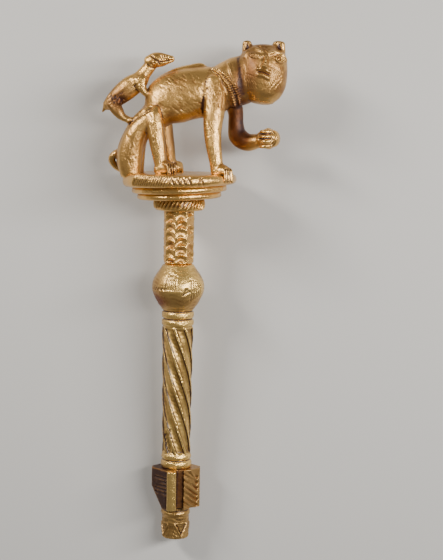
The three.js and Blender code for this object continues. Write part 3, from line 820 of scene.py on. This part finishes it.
def cat_shells():
    torso = limb([[37, 63, 0, 10.5, 10], [27, 62.4, 0, 18.3, 13], [14, 62.5, 0, 19.3, 14.8],
                  [1.4, 60, 0, 19.6, 14.8], [-9.8, 54.8, 0, 18.8, 14.4], [-18.6, 44.8, 0, 12, 13.5],
                  [-30, 34.5, 0, 9.6, 13], [-37, 20, 0, 9.8, 13], [-38, 9, 0, 9.6, 13],
                  [-36.5, 2, 0, 7.5, 11]], 56, 1.0)
    belly = limb([[-12, 46.5, 0, 8.4, 12], [-2, 49.5, 0, 10.4, 13], [8, 53.5, 0, 11.2, 13.4],
                  [16, 57, 0, 13, 13]])
    neck = limb([[14, 67, 0, 13, 11.5], [26, 67, 0, 15, 12.6], [36, 69, 0, 17.4, 13.6],
                 [44, 71.5, 0, 18.4, 14.2], [53, 75, 0, 17, 13.5]], 48, 1.0)
    foreleg = limb([[24.4, 72, 10, 7, 4.5], [26.2, 61, 11.5, 8.2, 5.6], [25.8, 50, 13.4, 8, 6.2],
                    [24.8, 40, 14.3, 7.3, 6], [24.8, 30, 15.8, 6.4, 5.3], [25.9, 20.5, 16.9, 5.7, 5],
                    [27.5, 11.5, 18, 5.1, 4.6], [28.6, 3, 18.4, 4.8, 4.4]])
    forepaw = limb([[28, 3.4, 18.4, 4.4, 5], [32.4, 4.6, 19.8, 5, 6], [35.6, 3.4, 21.4, 3.8, 5.4]])
    raised = limb([[37, 62, -6, 8, 7], [41.6, 49, -9, 6, 5.6], [42.2, 38.5, -9.6, 6, 5.4],
                   [44, 30, -8.6, 7.2, 5.8], [51, 25.6, -5.6, 6.8, 5.8],
                   [58.4, 26.6, -1.6, 5.6, 5.4], [62, 27.4, 0, 5.2, 5]])
    skull = limb([[61.7, 95.6, 0.5, 12, 9.6], [61.7, 91.4, 0.8, 16.6, 13.6], [61.6, 84.6, 0.8, 18.3, 15.8],
                  [61.4, 75.6, 1.5, 18.6, 16.4], [61, 68, 2.2, 17.8, 15.4], [60.6, 62, 3, 15.2, 13],
                  [60, 57.4, 3.4, 10.8, 9.5]], 64, 0.9, 0.35)
    ears = [limb([[x + lean, 86.4, -0.5, wide * 0.8, 3], [x, 95.4, 0.4, wide, 2.8],
                  [x, 99.8, 0.8, wide * 0.94, 2.4]], 24, 0.7, 0.8)
            for x, wide, lean in ((49.4, 3.7, -1.2), (73.3, 5.0, 1.6))]
    tail = limb([[-41, 18.4, -2, 3, 3], [-48.4, 15.6, -3, 2.9, 2.9], [-51.8, 11.2, -4, 2.7, 2.7],
                 [-48.6, 5.6, -7, 2.5, 2.5], [-41, 2, -11, 2.3, 2.3], [-31, 1.6, -14, 2, 2]])
    spine = limb([[-16, 73, 0, 1.2, 2], [-3.6, 78.6, 0, 1.8, 3.4], [8, 81.4, 0, 2, 3.6],
                  [15, 82.6, 0, 1.8, 2.6], [19, 80.6, 0, 1.4, 2]], 20, 0.8, 0.4)
    fist = [limb([[62.4, 28, 0, 6.5, 6.5], [66.9, 28.6, 1.4, 8.2, 8], [70.5, 28.8, 2, 6.6, 6.6]], 28, 0.7)]
    for y in (34.2, 30.5, 26.8, 23.1):
        z = 1.2 + 8 * math.sqrt(1 - ((y - 28.6) / 8.4) ** 2)
        finger = [[68.6, y, z - 1.7, 1.5, 1.6], [64.2, y - 0.2, z, 1.6, 1.7],
                  [60.9, y - 0.5, z - 2.4, 1.4, 1.6]]
        fist.append(limb(finger, 12, 0.6, 0.6))
    return [torso, belly, neck, foreleg, forepaw, raised, skull, *ears, tail, spine, *fist,
            limb(THIGH), limb(mirrored(THIGH, 1)), limb(SHANK), limb(mirrored(SHANK, 5.5)),
            limb(HIND_PAW), limb(mirrored(HIND_PAW, 2.5)),
            *paw_toes(-7.2, 8.4, 21.6, 40, 7), *paw_toes(-3, 8, -22, -40, 6.6),
            *paw_toes(35, 5.2, 21.6, 40, 9)]


# %% [markdown]
# ## The small animal
# It climbs on the cat's back with a long neck and snout. Its legs are short limbs that end in the cat.

# %% Small animal
def small_animal_shells():
    body = limb([[-55, 51.6, 0, 4, 3.8], [-51.5, 54.4, 0, 5.8, 4.6], [-44.5, 60.4, 0, 7.6, 5.3],
                 [-37.6, 66, 0, 8, 5.4], [-31.5, 70.4, 0, 7, 5.2], [-27.4, 76, 0, 5.2, 4.2],
                 [-23, 81.6, 0, 4.8, 3.9]])
    skull = limb([[-24.6, 84.6, 0, 4.4, 3.8], [-19.4, 86, 0, 5.7, 4.5], [-14, 86.4, 0, 5.2, 3.9],
                  [-9.6, 86.8, 0, 3.6, 3], [-6.6, 87, 0, 2.6, 2.4]])
    tail = limb([[-54, 54, 0, 3.4, 2.4], [-56.6, 50.4, 0, 2, 1.7], [-58.6, 46.6, 0, 0.6, 0.6]], 16)
    front = [[-30.5, 72, 4.2, 5, 2.4], [-29.6, 66.4, 5, 3.8, 2.5], [-27, 62.4, 5, 2.8, 2.4],
             [-23, 59, 4.6, 2.4, 2.2]]
    rear = [[-50.8, 54, 4, 5.4, 2.6], [-47, 47.4, 5, 4.2, 2.6], [-43, 43, 5, 2.8, 2.3],
            [-36.5, 40.6, 4.6, 2.2, 2.2]]
    return [body, skull, tail, *(limb(leg, 18) for leg in (front, mirrored(front), rear, mirrored(rear)))]


# %% [markdown]
# ## Drawing on the figures
# Eyes, mouth, collar and fur are cut lines that follow the surface. They are drawn flat, as they are seen
# from the front, and move the points that face it. That needs no unwrapping, and lines fade at the sides.

# %% Figure relief
def relief(points, normals, marks):
    """Height to add at each point for marks (line, width, height) on what faces the front."""
    facing = np.clip(normals[:, 2] * 2.2, 0, 1)
    height = np.zeros(len(points))
    for line, width, rise in marks:
        line = np.asarray(line, float)
        low, high = line.min(0) - 4 * width, line.max(0) + 4 * width
        hit = np.all((points[:, :2] > low) & (points[:, :2] < high), 1) & (facing > 0)
        d = line_distance(points[hit, :2], line)
        height[hit] += rise * np.exp(-((d / width) ** 2)) * facing[hit]
    return height


def wavy(start, end, waves, swing, steps=14):
    start, end = np.asarray(start, float), np.asarray(end, float)
    t = np.linspace(0, 1, steps)[:, None]
    side = np.array([-(end - start)[1], (end - start)[0]]) / np.linalg.norm(end - start)
    return start + (end - start) * t + side * swing * np.sin(2 * np.pi * waves * t)


def almond(x, y, half, tall, droop):
    t = np.linspace(0, 2 * np.pi, 25)
    u, v = half * np.cos(t), tall * np.sin(t) * np.abs(np.sin(t)) ** 0.3
    return np.stack([x + u, y + v - droop * u], 1)


def hatched(line, width, rise, strokes):
    """A raised cord with strokes cut across it."""
    line = np.asarray(line, float)
    marks = [[line, width, rise]]
    for t in np.linspace(0, len(line) - 1.01, strokes):
        k = int(t)
        at, way = line[k] + (line[k + 1] - line[k]) * (t - k), line[k + 1] - line[k]
        across = np.array([way[1], -way[0]]) / np.linalg.norm(way) * width * 0.9
        marks.append([[at - across, at + across], 0.35, -rise * 0.55])
    return marks


# %% [markdown]
# ## The face
# It is a broad face with a low closed lid on the left and an open, rimmed eye on the right, a small nose
# and a slanting mouth. Raised marks shape the nose, lips and brows, and sunk marks cut the lines.

# %% Face
def face_marks():
    marks = [[[[63.4, 88.6], [63, 85]], 1.5, 1.7], [[[62.8, 85], [62.3, 82.4]], 1.9, 2.2],
             [[[60.6, 81.8], [62.3, 81.5], [64, 81.1]], 1.3, 1.3], [[[61.2, 88.6], [60.8, 84.6]], 0.7, -0.5],
             [[[58, 78.2], [61.4, 77.7], [65.6, 76]], 0.6, -0.75],
             [[[57.4, 80.2], [61.6, 79.9], [65.4, 78.2]], 1.2, 0.9],
             [[[58.2, 76], [61.6, 75.3], [65, 73.6]], 1.5, 0.9],
             [[[47.6, 89], [50, 94.4], [55, 96], [60.4, 93.4]], 1.1, 0.8],
             [[[65.4, 91.4], [70, 93], [75.4, 91], [78.6, 87]], 1.2, 1.3],
             [[[58.6, 96.4], [62, 93.6], [65, 91.2]], 0.8, -0.5], [[[62, 97], [65.6, 94.2]], 0.6, -0.3]]
    # The left eye is a low closed lid with short strokes; the right one is open with a rimmed pupil
    marks += [[[[52.4, 90.6], [58.2, 89.6]], 2.1, 1.1], [almond(55.4, 90, 5.4, 3, 0.14), 0.5, -0.22]]
    for k in range(5):
        marks.append([[[51.6 + 1.7 * k, 91.6 - 0.2 * k], [52.6 + 1.7 * k, 89.2 - 0.2 * k]], 0.35, -0.3])
    x, y = 73.2, 87.4
    marks += [[[[x - 2.4, y + 0.4], [x + 2.4, y - 0.4]], 1.9, 1.0], [almond(x, y, 3.4, 2, 0.18), 0.5, 0.8],
              [almond(x, y, 4.5, 3, 0.18), 0.5, -0.35], [almond(x - 0.4, y + 0.2, 1.3, 1.4, 0), 0.34, -0.7],
              [[[x + 0.1, y + 0.3], [x + 0.4, y]], 0.5, -0.8]]
    for k in range(7):
        stroke = wavy([66.6 + 1.5 * k, 82.6 - 0.6 * k], [67 + 1.1 * k, 66 + 1.5 * (k % 3)], 2.5, 0.5)
        marks.append([stroke, 0.42, -0.26])
    for k in range(5):
        marks.append([wavy([47.4 + 1.6 * k, 77 - 0.4 * k], [50.4 + 1.7 * k, 66], 2, 0.4), 0.42, -0.2])
    for x, wide in ((49.4, 3.7), (73.5, 5.0)):
        marks.append([[[x, 95.6], [x, 99.4]], wide * 0.36, -0.9])
    return marks


# %% [markdown]
# ## Collar, toes and fur
# Two hatched cords cross the shoulder. The toes are parted by grooves, and short strokes follow the
# body. The strokes' places are random numbers from one seeded generator, so every run gives the same.

# %% Body marks
rng = np.random.default_rng(7)


def toe_gaps(x, low, high):
    return [[[[x + gap, low], [x + gap - 0.6, high]], 0.5, -1.1] for gap in (-1.7, 0, 1.7)]


def body_marks():
    marks = hatched([[24.6, 79.6], [28.6, 76.4], [32, 72.4], [35.3, 68.7], [39.2, 61.2], [40.9, 53]],
                    1.2, 2.1, 24)
    marks += hatched([[28.2, 79.2], [34, 74.8], [39.4, 68.8], [43.4, 60.6], [44.4, 55]], 1.1, 1.8, 20)
    marks.append([[[35.6, 84], [38.2, 76], [42.2, 66]], 0.9, 0.9])
    marks.append([[[42, 90], [43.4, 82], [44.6, 72], [47, 62]], 2.4, -0.8])
    marks.append([[[-41.2, 37], [-33, 45.6], [-22, 51.4], [-16.4, 50.4]], 1.2, 1.0])
    marks.append([[[-40, 34.2], [-32.4, 42.6], [-22, 48.6]], 0.7, -0.9])
    marks.append([[[21, 76], [17.4, 66], [16.6, 50], [17, 42]], 1.3, -0.3])
    marks.append([[[21.6, 78.6], [26.8, 76.6], [31, 70], [32.4, 60], [31.6, 50]], 1.3, -0.35])
    for k in range(3):
        y = 36 - 3.7 * k
        marks.append([[[59.6, y], [68.2, y + 0.4]], 0.5, -1.0])
    marks += toe_gaps(-5, 1.6, 9.4) + toe_gaps(37.2, -3.4, 6.6)
    for r in (3.4, 5.4, 7.2):
        a = np.radians(np.linspace(-60, 60, 9))
        marks.append([np.stack([67 + r * np.cos(a) * 0.7, 28.8 + r * np.sin(a)], 1), 0.4, -0.6])
    return marks


def fur_marks():
    """Short strokes that follow the legs and body."""
    marks = []
    for _ in range(150):
        x, y = rng.uniform(-34, 22), rng.uniform(44, 76)
        marks.append([[[x, y], [x + 2.6, y - 2.2]], 0.35, -0.22])
    for x, low, high in ((-17, 10, 44), (24.5, 12, 68), (-36, 4, 34)):
        for _ in range(34):
            u, y = x + rng.uniform(-5, 5), rng.uniform(low, high)
            marks.append([[[u, y], [u + 0.8, y - 2.8]], 0.35, -0.3])
    return marks


def small_marks():
    marks = [[[[-15.6, 84.6], [-6.6, 86.2]], 0.5, -1.0],
             [[[-22, 88.8], [-19.8, 86.6], [-17.2, 85.4], [-16, 83]], 0.6, -0.8],
             [almond(-19.6, 83.8, 1.2, 1.0, 0), 0.5, 0.5],
             [[[-24.8, 82.6], [-22.4, 80.6], [-19.6, 80]], 0.6, -0.6]]
    for k in range(4):
        marks.append([[[-15.4 + 1.7 * k, 89.6], [-14.2 + 1.7 * k, 86.2]], 0.4, -0.6])
    zigzag = [[-54 + 1.7 * k, 57.6 - 0.4 * k + 2.2 * (k % 2)] for k in range(9)]
    marks += [[zigzag, 0.5, -0.6], [[[p[0] + 1.4, p[1] - 3] for p in zigzag[:7]], 0.5, -0.5]]
    for _ in range(46):
        t = rng.uniform(0, 1)
        x, y = -52 + 22 * t + rng.uniform(-2, 2), 55 + 16 * t + rng.uniform(-5, 5)
        marks.append([[[x, y], [x + 1.8, y + 1.6]], 0.35, -0.3])
    return marks


# %% [markdown]
# ## Carving the figures
# The limbs are fused by a voxel remesh, which also rounds the joins as a carver would, and smoothed. Fine
# lines need small polygons, but only on both heads, the paws and the collar, so just these are cut finer.

# %% Figures
# Places that get a finer mesh: low and high corner in the picture plane, least depth, cuts per edge
FINE_PLACES = [((45, 63), (80, 100), 4, 2), ((57, 18), (76, 40), 0, 1), ((-20, -3), (4, 13), 8, 1),
               ((28, -8), (44, 12), 8, 1), ((22, 50), (47, 82), 4, 1), ((-28, 78), (-3, 92), 0, 1)]
FIGURE_VOXEL = 0.95
RAISED_FROM, RAISED_BRIGHTENING = 0.7, -0.6


def refined(shell):
    """Cuts the faces in the fine places into smaller ones."""
    made = mesh_object("refined", shell)
    bm = bmesh.new()
    bm.from_mesh(made.data)
    for low, high, depth, cuts in FINE_PLACES:
        edges = set()
        for face in bm.faces:
            x, y, z = face.calc_center_median() / UNIT
            if low[0] < x < high[0] and low[1] < y < high[1] and z > depth:
                edges.update(face.edges)
        bmesh.ops.subdivide_edges(bm, edges=list(edges), cuts=cuts, use_grid_fill=True)
    bm.to_mesh(made.data)
    bm.free()
    return shell_of(made)


def figure_shell():
    limbs = [(points * UNIT, faces) for points, faces in cat_shells() + small_animal_shells()]
    shell = smoothed(remeshed("figures", joined(limbs), FIGURE_VOXEL), 4)
    shell = smoothed(refined(shell), 2)
    points, normals = shell[0] / UNIT, normals_of(shell)
    height = relief(points, normals, face_marks() + body_marks() + fur_marks() + small_marks())
    points = (points + normals * height[:, None]) * UNIT
    sunk = np.where(height < 0, -height * UNIT, np.where(height > RAISED_FROM, RAISED_BRIGHTENING, 0))
    return points + [0, PLATFORM_TOP - FIGURE_SINK, 0], shell[1], sunk


figures = counted("figures", figure_shell())


# %% [markdown]
# ## Gold leaf
# Thin leaf over carved wood is satin gold with fine wrinkles. It is brighter on edges and ridges, with
# painted highlights on some faces, brown where dirt sits in creases and where painted shade fills hollows,
# and redder where the ground shows through and where painted shade falls. Three numbers on each point say how
# sunk, how bright and how red a place is, so dirt, painted shade and brightening follow the carving. Noise
# breaks up its edges.

# %% Material
DIRT_AND_SHADE_FROM, DIRT_AND_SHADE_FULL = 0.5, 0.92
COAT_TINT = (1.0, 0.88, 0.62, 1)


def gold_leaf(name, bright, mid, red_and_shade, dark, wrinkle):
    mat = bpy.data.materials.new(name)
    mat.use_nodes = True
    tree = mat.node_tree
    coords = Field(tree, tree.nodes.new("ShaderNodeTexCoord").outputs["Object"])

    def node(kind, result, **values):
        made = tree.nodes.new(kind)
        for label, value in values.items():
            wire(tree, value, made.inputs[label.replace("_", " ")])
        return Field(tree, made.outputs[result])

    def noise(**values):
        return node("ShaderNodeTexNoise", "Fac", Vector=coords, **values)

    def attribute(label):
        made = tree.nodes.new("ShaderNodeAttribute")
        made.attribute_name = label
        return Field(tree, made.outputs["Fac"])

    def blend(share, a, b):
        made = tree.nodes.new("ShaderNodeMix")
        made.data_type = "RGBA"
        for label, value in (("Factor", share), ("A", a), ("B", b)):
            wire(tree, value, made.inputs[label])
        return Field(tree, made.outputs["Result"])

    worn, sunk, tone = attribute("worn"), attribute("sunk"), attribute("tone")
    # Edges and ridges are brighter; worn also holds painted highlights on the hollows of the flutes, the rib
    # and the right wing.
    lifted = worn * 0.45 + noise(Scale=60.0, Detail=5.0, Roughness=0.6)
    ramp = tree.nodes.new("ShaderNodeValToRGB")
    for stop, place, colour in zip(ramp.color_ramp.elements, (0.34, 0.62), (mid, bright)):
        stop.position, stop.color = place, (*colour, 1)
    wire(tree, lifted, ramp.inputs["Fac"])
    # Dirt and painted shade darken the leaf together.
    dirt_and_shade = noise(Scale=420.0, Detail=6.0, Roughness=0.7) * 0.7 + (worn * -0.5 + sunk)
    soil_and_shade = node("ShaderNodeMapRange", "Result", Value=dirt_and_shade, From_Min=DIRT_AND_SHADE_FROM, From_Max=DIRT_AND_SHADE_FULL)
    # The red colour stands for red ground and for painted shade.
    gold = blend(tone, Field(tree, ramp.outputs["Color"]), (*red_and_shade, 1))
    rough = node("ShaderNodeMapRange", "Result", Value=lifted, To_Min=0.42, To_Max=0.2)
    crease = noise(Scale=700.0, Detail=4.0, Roughness=0.65, Distortion=0.8)
    height = noise(Scale=150.0, Detail=3.0) * 2.2 + crease
    finish = {"Base Color": blend(soil_and_shade, gold, (*dark, 1)), "Roughness": tone * 0.16 + rough,
              "Metallic": node("ShaderNodeMapRange", "Result", Value=soil_and_shade, To_Min=0.85, To_Max=0.2),
              "Coat Weight": tone * -0.26 + 0.28, "Coat Roughness": 0.18, "Coat Tint": COAT_TINT,
              "Normal": node("ShaderNodeBump", "Normal", Strength=0.5, Distance=wrinkle, Height=height)}
    for label, value in finish.items():
        wire(tree, value, tree.nodes["Principled BSDF"].inputs[label])
    return mat


# %% [markdown]
# ## Where the leaf is redder
# The leaf is red-brown on the neck, the raised arm and the block, and more on the left side. On the neck
# beside the head, the raised arm, the left side of the face, the far hind leg, the left side of the staff
# and low on the ball this red-brown is painted shade. Soft spots and simple bands of height give this. A
# painted texture would need an image file.

# %% Tones
# Redder and darker spots: middle and half size in each direction in figure units, amount. Those on the
# neck beside the head, the raised arm, the left side of the face and the far hind leg are painted shade.
FIGURE_TONES_AND_SHADE = [((8, 60), (34, 20), 0.34), ((44, 66), (8, 26), 0.95), ((46, 40), (9, 20), 1.7),
                ((52, 80), (8, 26), 0.9), ((-6, 30), (7, 26), 0.8), ((-46, 56), (13, 13), 1.0),
                ((62, 98), (16, 7), 0.6), ((66, 64), (14, 8), 0.55), ((-36, 20), (14, 26), 0.5),
                ((62, 78), (16, 18), 0.5)]
BASE_TONE = 0.08


def figure_tone_and_shade(points):
    flat = (points[:, :2] - [0, PLATFORM_TOP - FIGURE_SINK]) / UNIT
    tone = np.zeros(len(points))
    for middle, size, amount in FIGURE_TONES_AND_SHADE:
        away = (((flat - middle) / size) ** 2).sum(1)
        tone = np.maximum(tone, amount * np.exp(-away * 0.8))
    return np.where(points[:, 1] > PLATFORM_TOP - 2, tone, BASE_TONE)


def staff_tone_and_shade(points):
    """Red-brown block with a paler rib, its right side made paler as painted light, an olive butt, and
    painted shade: a redder left side all along and a redder band low on the ball.
    """
    x, y, z = points.T
    on_block = (y > BLOCK_BOTTOM - 1) & (y < BLOCK_TOP + 1)
    rib = (np.abs(x - RIB_MIDDLE) < RIB_HALF + 0.2) & (z > 12)
    # Painted light: the right wing is less red than the left wing.
    tone = np.where(on_block, np.where(rib, 0.1, np.where(x > 7.6, 0.65, 0.85)), 0.0)
    # Painted shade: the left side is redder all along, and the ball is redder low down.
    left = np.clip(-x / 13 - 0.35, 0, 1) * np.where(y > BLOCK_TOP, 0.55, 0.2)
    low = np.where(y < BLOCK_BOTTOM, 0.5, 0.0) + 0.6 * np.exp(-(((y - 219) / 8) ** 2))
    return np.clip(np.maximum(tone, left + low), 0, 1)


# %% [markdown]
# ## Hollows and edges
# Painted shade darkens the hollows, and dirt stays in creases where nothing rubs it. From each point a fan
# of rays finds how enclosed it is, which sets the painted shade, and the difference from the smoothed
# shape finds edges and creases. Cycles has nodes for both, but a material that traces rays can't be
# exported as plain attributes, so they are worked out once here.

# %% Painted shade, dirt and brightening
def hollow_shade(points, faces, normals, rays, reach=13.0):
    """How enclosed each point is, from 0 in the open to 1 in a deep hollow; this sets the painted shade in
    hollows.
    """
    tree = BVHTree.FromPolygons(points.tolist(), faces)
    k = np.arange(rays) + 0.5
    rise, turn = np.sqrt(1 - k / rays), k * math.pi * (3 - math.sqrt(5))
    fan = np.stack([np.sqrt(k / rays) * np.cos(turn), np.sqrt(k / rays) * np.sin(turn), rise], 1)
    helper = np.where(np.abs(normals[:, :1]) < 0.7, [[1.0, 0, 0]], [[0, 1.0, 0]])
    side = unit_rows(np.cross(helper, normals))
    up = np.cross(normals, side)
    found = np.zeros(len(points))
    starts = (points + normals * 0.12).tolist()
    for a, b, c in fan:
        ways = (a * side + b * up + c * normals).tolist()
        for i, (start, way) in enumerate(zip(starts, ways)):
            distance = tree.ray_cast(start, way, reach)[3]
            if distance is not None:
                found[i] += 1 - distance / reach
    return found / rays


def dirt_shade_and_highlight(points, faces, normals, engraved, shade):
    """How sunk and how bright each point is: painted shade from how enclosed it is and from its darkest shade
    spots, grime from its creases, and from its engraving values grime, painted shade, brightening and painted
    highlights.
    """
    edges = edges_of((points, faces))
    curved, flat = np.zeros(len(points)), points
    for rounds, share in ((2, 1.6), (8, 0.8)):
        for _ in range(rounds):
            flat = averaged(flat, edges, len(points))
        curved += share * np.einsum("ij,ij->i", flat - points, normals)
    # Painted shade in hollows, from how enclosed each point is.
    painted_hollow_shade = hollow_shade(points, faces, normals, 10)[:, None]
    for _ in range(6):
        painted_hollow_shade = averaged(painted_hollow_shade, edges, len(points))
    creased, red_and_shade = np.maximum(curved, 0), np.maximum(shade - 0.7, 0)
    # Painted shade from hollows and from the darkest shade spots is added to dirt in creases and engraved
    # lines.
    sunk = 1.05 * (painted_hollow_shade[:, 0] - 0.12) + 0.42 * engraved + 0.8 * creased + 0.8 * red_and_shade
    return np.clip(sunk, 0, 1.5), np.clip(-2.2 * curved + 0.7 * np.maximum(-engraved, 0), 0, 1)


# %% [markdown]
# ## Finished pieces
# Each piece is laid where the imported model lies, in metres, with its object left at the origin. A collapse
# decimation takes faces out of the even parts, because a piece has to stay under 200,000 triangles.

# %% Pieces
MOST_TRIANGLES = 192000
FLOOR_GAP = 0.00005


def laid(points):
    """Points in millimetres of the staff's own frame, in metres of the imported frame."""
    x, y, z = np.asarray(points, float).T
    c, s = math.cos(TILT), math.sin(TILT)
    return np.stack([x + SHIFT[0], y * c - z * s + SHIFT[1], y * s + z * c + SHIFT[2]], -1) / 1000


def thinned(made):
    """Fewer faces where the surface is even."""
    count = sum(len(polygon.vertices) - 2 for polygon in made.data.polygons)
    if count > MOST_TRIANGLES:
        mod = made.modifiers.new("thin", "DECIMATE")
        mod.ratio = MOST_TRIANGLES / count
        dg = bpy.context.evaluated_depsgraph_get()
        made.data = bpy.data.meshes.new_from_object(made.evaluated_get(dg))
        made.modifiers.clear()
    print(made.name, count, "triangles, thinned to", sum(len(p.vertices) - 2 for p in made.data.polygons))


def piece(name, shells, tone, material, node):
    """One finished piece in the place of a node, with attributes for the leaf."""
    points, faces = joined([shell[:2] for shell in shells])
    # The shells' third numbers are engraving dirt together with painted shade and painted highlights on the
    # block, the flutes and the rope ring.
    engraved, shade = np.concatenate([shell[2] for shell in shells]), tone(points)
    sunk, worn = dirt_shade_and_highlight(points, faces, normals_of((points, faces)), engraved, shade)
    place = laid(points)
    place[:, 2] = np.maximum(place[:, 2], FLOOR_GAP)
    made = mesh_object(name, (place, faces))
    # sunk holds dirt and painted shade, worn brightening and painted highlights, tone red leaf and painted
    # shade.
    for label, values in (("sunk", sunk), ("worn", worn), ("tone", np.clip(shade, 0, 1))):
        attribute = made.data.attributes.new(label, "FLOAT", "POINT")
        attribute.data.foreach_set("value", values.astype(np.float32))
    made.data.polygons.foreach_set("use_smooth", [True] * len(made.data.polygons))
    thinned(made)
    made.data.materials.append(material)
    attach(made, "root")
    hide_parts(node)


# %% [markdown]
# The figures' leaf is a little more coppery than the staff's. Each leaf has four colours: brightened places,
# its body, the red of the ground and of painted shade, and the dark of dirt and painted shade.

# %% Build the two pieces
figure_leaf = gold_leaf("figure_leaf", bright=(0.82, 0.49, 0.15), mid=(0.38, 0.18, 0.05),
                        red_and_shade=(0.17, 0.063, 0.022), dark=(0.04, 0.010, 0.006), wrinkle=0.0005)
staff_leaf = gold_leaf("staff_leaf", bright=(0.95, 0.64, 0.21), mid=(0.38, 0.22, 0.06),
                       red_and_shade=(0.20, 0.062, 0.022), dark=(0.04, 0.012, 0.006), wrinkle=0.0006)
piece("gilded_finial", [*bases, figures], figure_tone_and_shade, figure_leaf, "finial")
piece("gilded_shaft", [staff, block], staff_tone_and_shade, staff_leaf, "shaft")


# %% [markdown]
# ## Floor and light
# Gold shows its shape by what it mirrors. A long softbox at the right and a shorter one at the left give
# bright bands over a dim surround, and a pale floor fills the shadows.

# %% Floor
FLOOR_REACH = 3
corners = np.array([(-1, -1, 0), (1, -1, 0), (1, 1, 0), (-1, 1, 0)]) * FLOOR_REACH
floor = mesh_object("floor", (corners, [(0, 1, 2, 3)]))
paper = bpy.data.materials.new("paper")
paper.use_nodes = True
shader = paper.node_tree.nodes["Principled BSDF"]
shader.inputs["Base Color"].default_value = (0.62, 0.61, 0.59, 1)
shader.inputs["Roughness"].default_value = 0.9
floor.data.materials.append(paper)
print("floor", FLOOR_REACH * 2, "m wide")


# %% Lights
def softbox(name, at, width, length, power, colour):
    """A rectangular light that looks at the middle of the sceptre."""
    data = bpy.data.lights.new(name, "AREA")
    data.shape, data.size, data.size_y = "RECTANGLE", width, length
    data.energy, data.color = power, colour
    made = added(name, data)
    made.location = at
    made.rotation_mode = "QUATERNION"
    made.rotation_quaternion = (Vector((0, 0.05, 0.04)) - Vector(at)).to_track_quat("-Z", "Y")


softbox("left", (-0.8, 0.6, 0.8), 0.2, 0.5, 12, (1.0, 0.96, 0.9))
softbox("right", (0.75, 0.2, 0.95), 0.16, 1.1, 17, (1.0, 0.97, 0.93))
world = bpy.data.worlds.new("studio")
world.use_nodes = True
surround = world.node_tree.nodes["Background"]
surround.inputs["Color"].default_value = (0.75, 0.78, 0.82, 1)
surround.inputs["Strength"].default_value = 0.16
bpy.context.scene.world = world
print("lights", [light.name for light in bpy.data.lights])

# %% [markdown]
# ## Camera
# The camera stands where the photograph's stood: level with the cat's chest and looking a little down
# the staff. The rings then look straight near the figure and curved near the butt, as in the picture.

# %% Camera
LEAN, LOOK_DOWN, DISTANCE, LEVEL, ASIDE = 0.0157, math.radians(7), 1231.0, 388.6, 37.4
PIVOT_HEIGHT = 336
HALF_FRAME, LENS_LENGTH = 280, 1376  # in pixels of the photograph


def frame_way(way):
    return (Matrix.Rotation(TILT, 3, "X") @ Vector(way)).normalized()


pivot = Vector((0, PIVOT_HEIGHT, 0))
roll = Matrix.Rotation(LEAN, 3, "Z")
eye = pivot + roll @ (Vector((ASIDE, LEVEL, DISTANCE)) - pivot)
forward = frame_way(roll @ Vector((0, -math.sin(LOOK_DOWN), -math.cos(LOOK_DOWN))))
up = frame_way(roll @ Vector((0, math.cos(LOOK_DOWN), -math.sin(LOOK_DOWN))))
camera_data = bpy.data.cameras.new("camera")
camera_data.sensor_fit = "VERTICAL"
camera_data.angle = 2 * math.atan(HALF_FRAME / LENS_LENGTH)
camera = added("camera", camera_data)
camera.matrix_world = Matrix.Translation(Vector(laid(eye))) @ Matrix(
    (forward.cross(up), up, -forward)).transposed().to_4x4()
bpy.context.scene.camera = camera
print("camera at", [round(v, 3) for v in camera.matrix_world.translation])
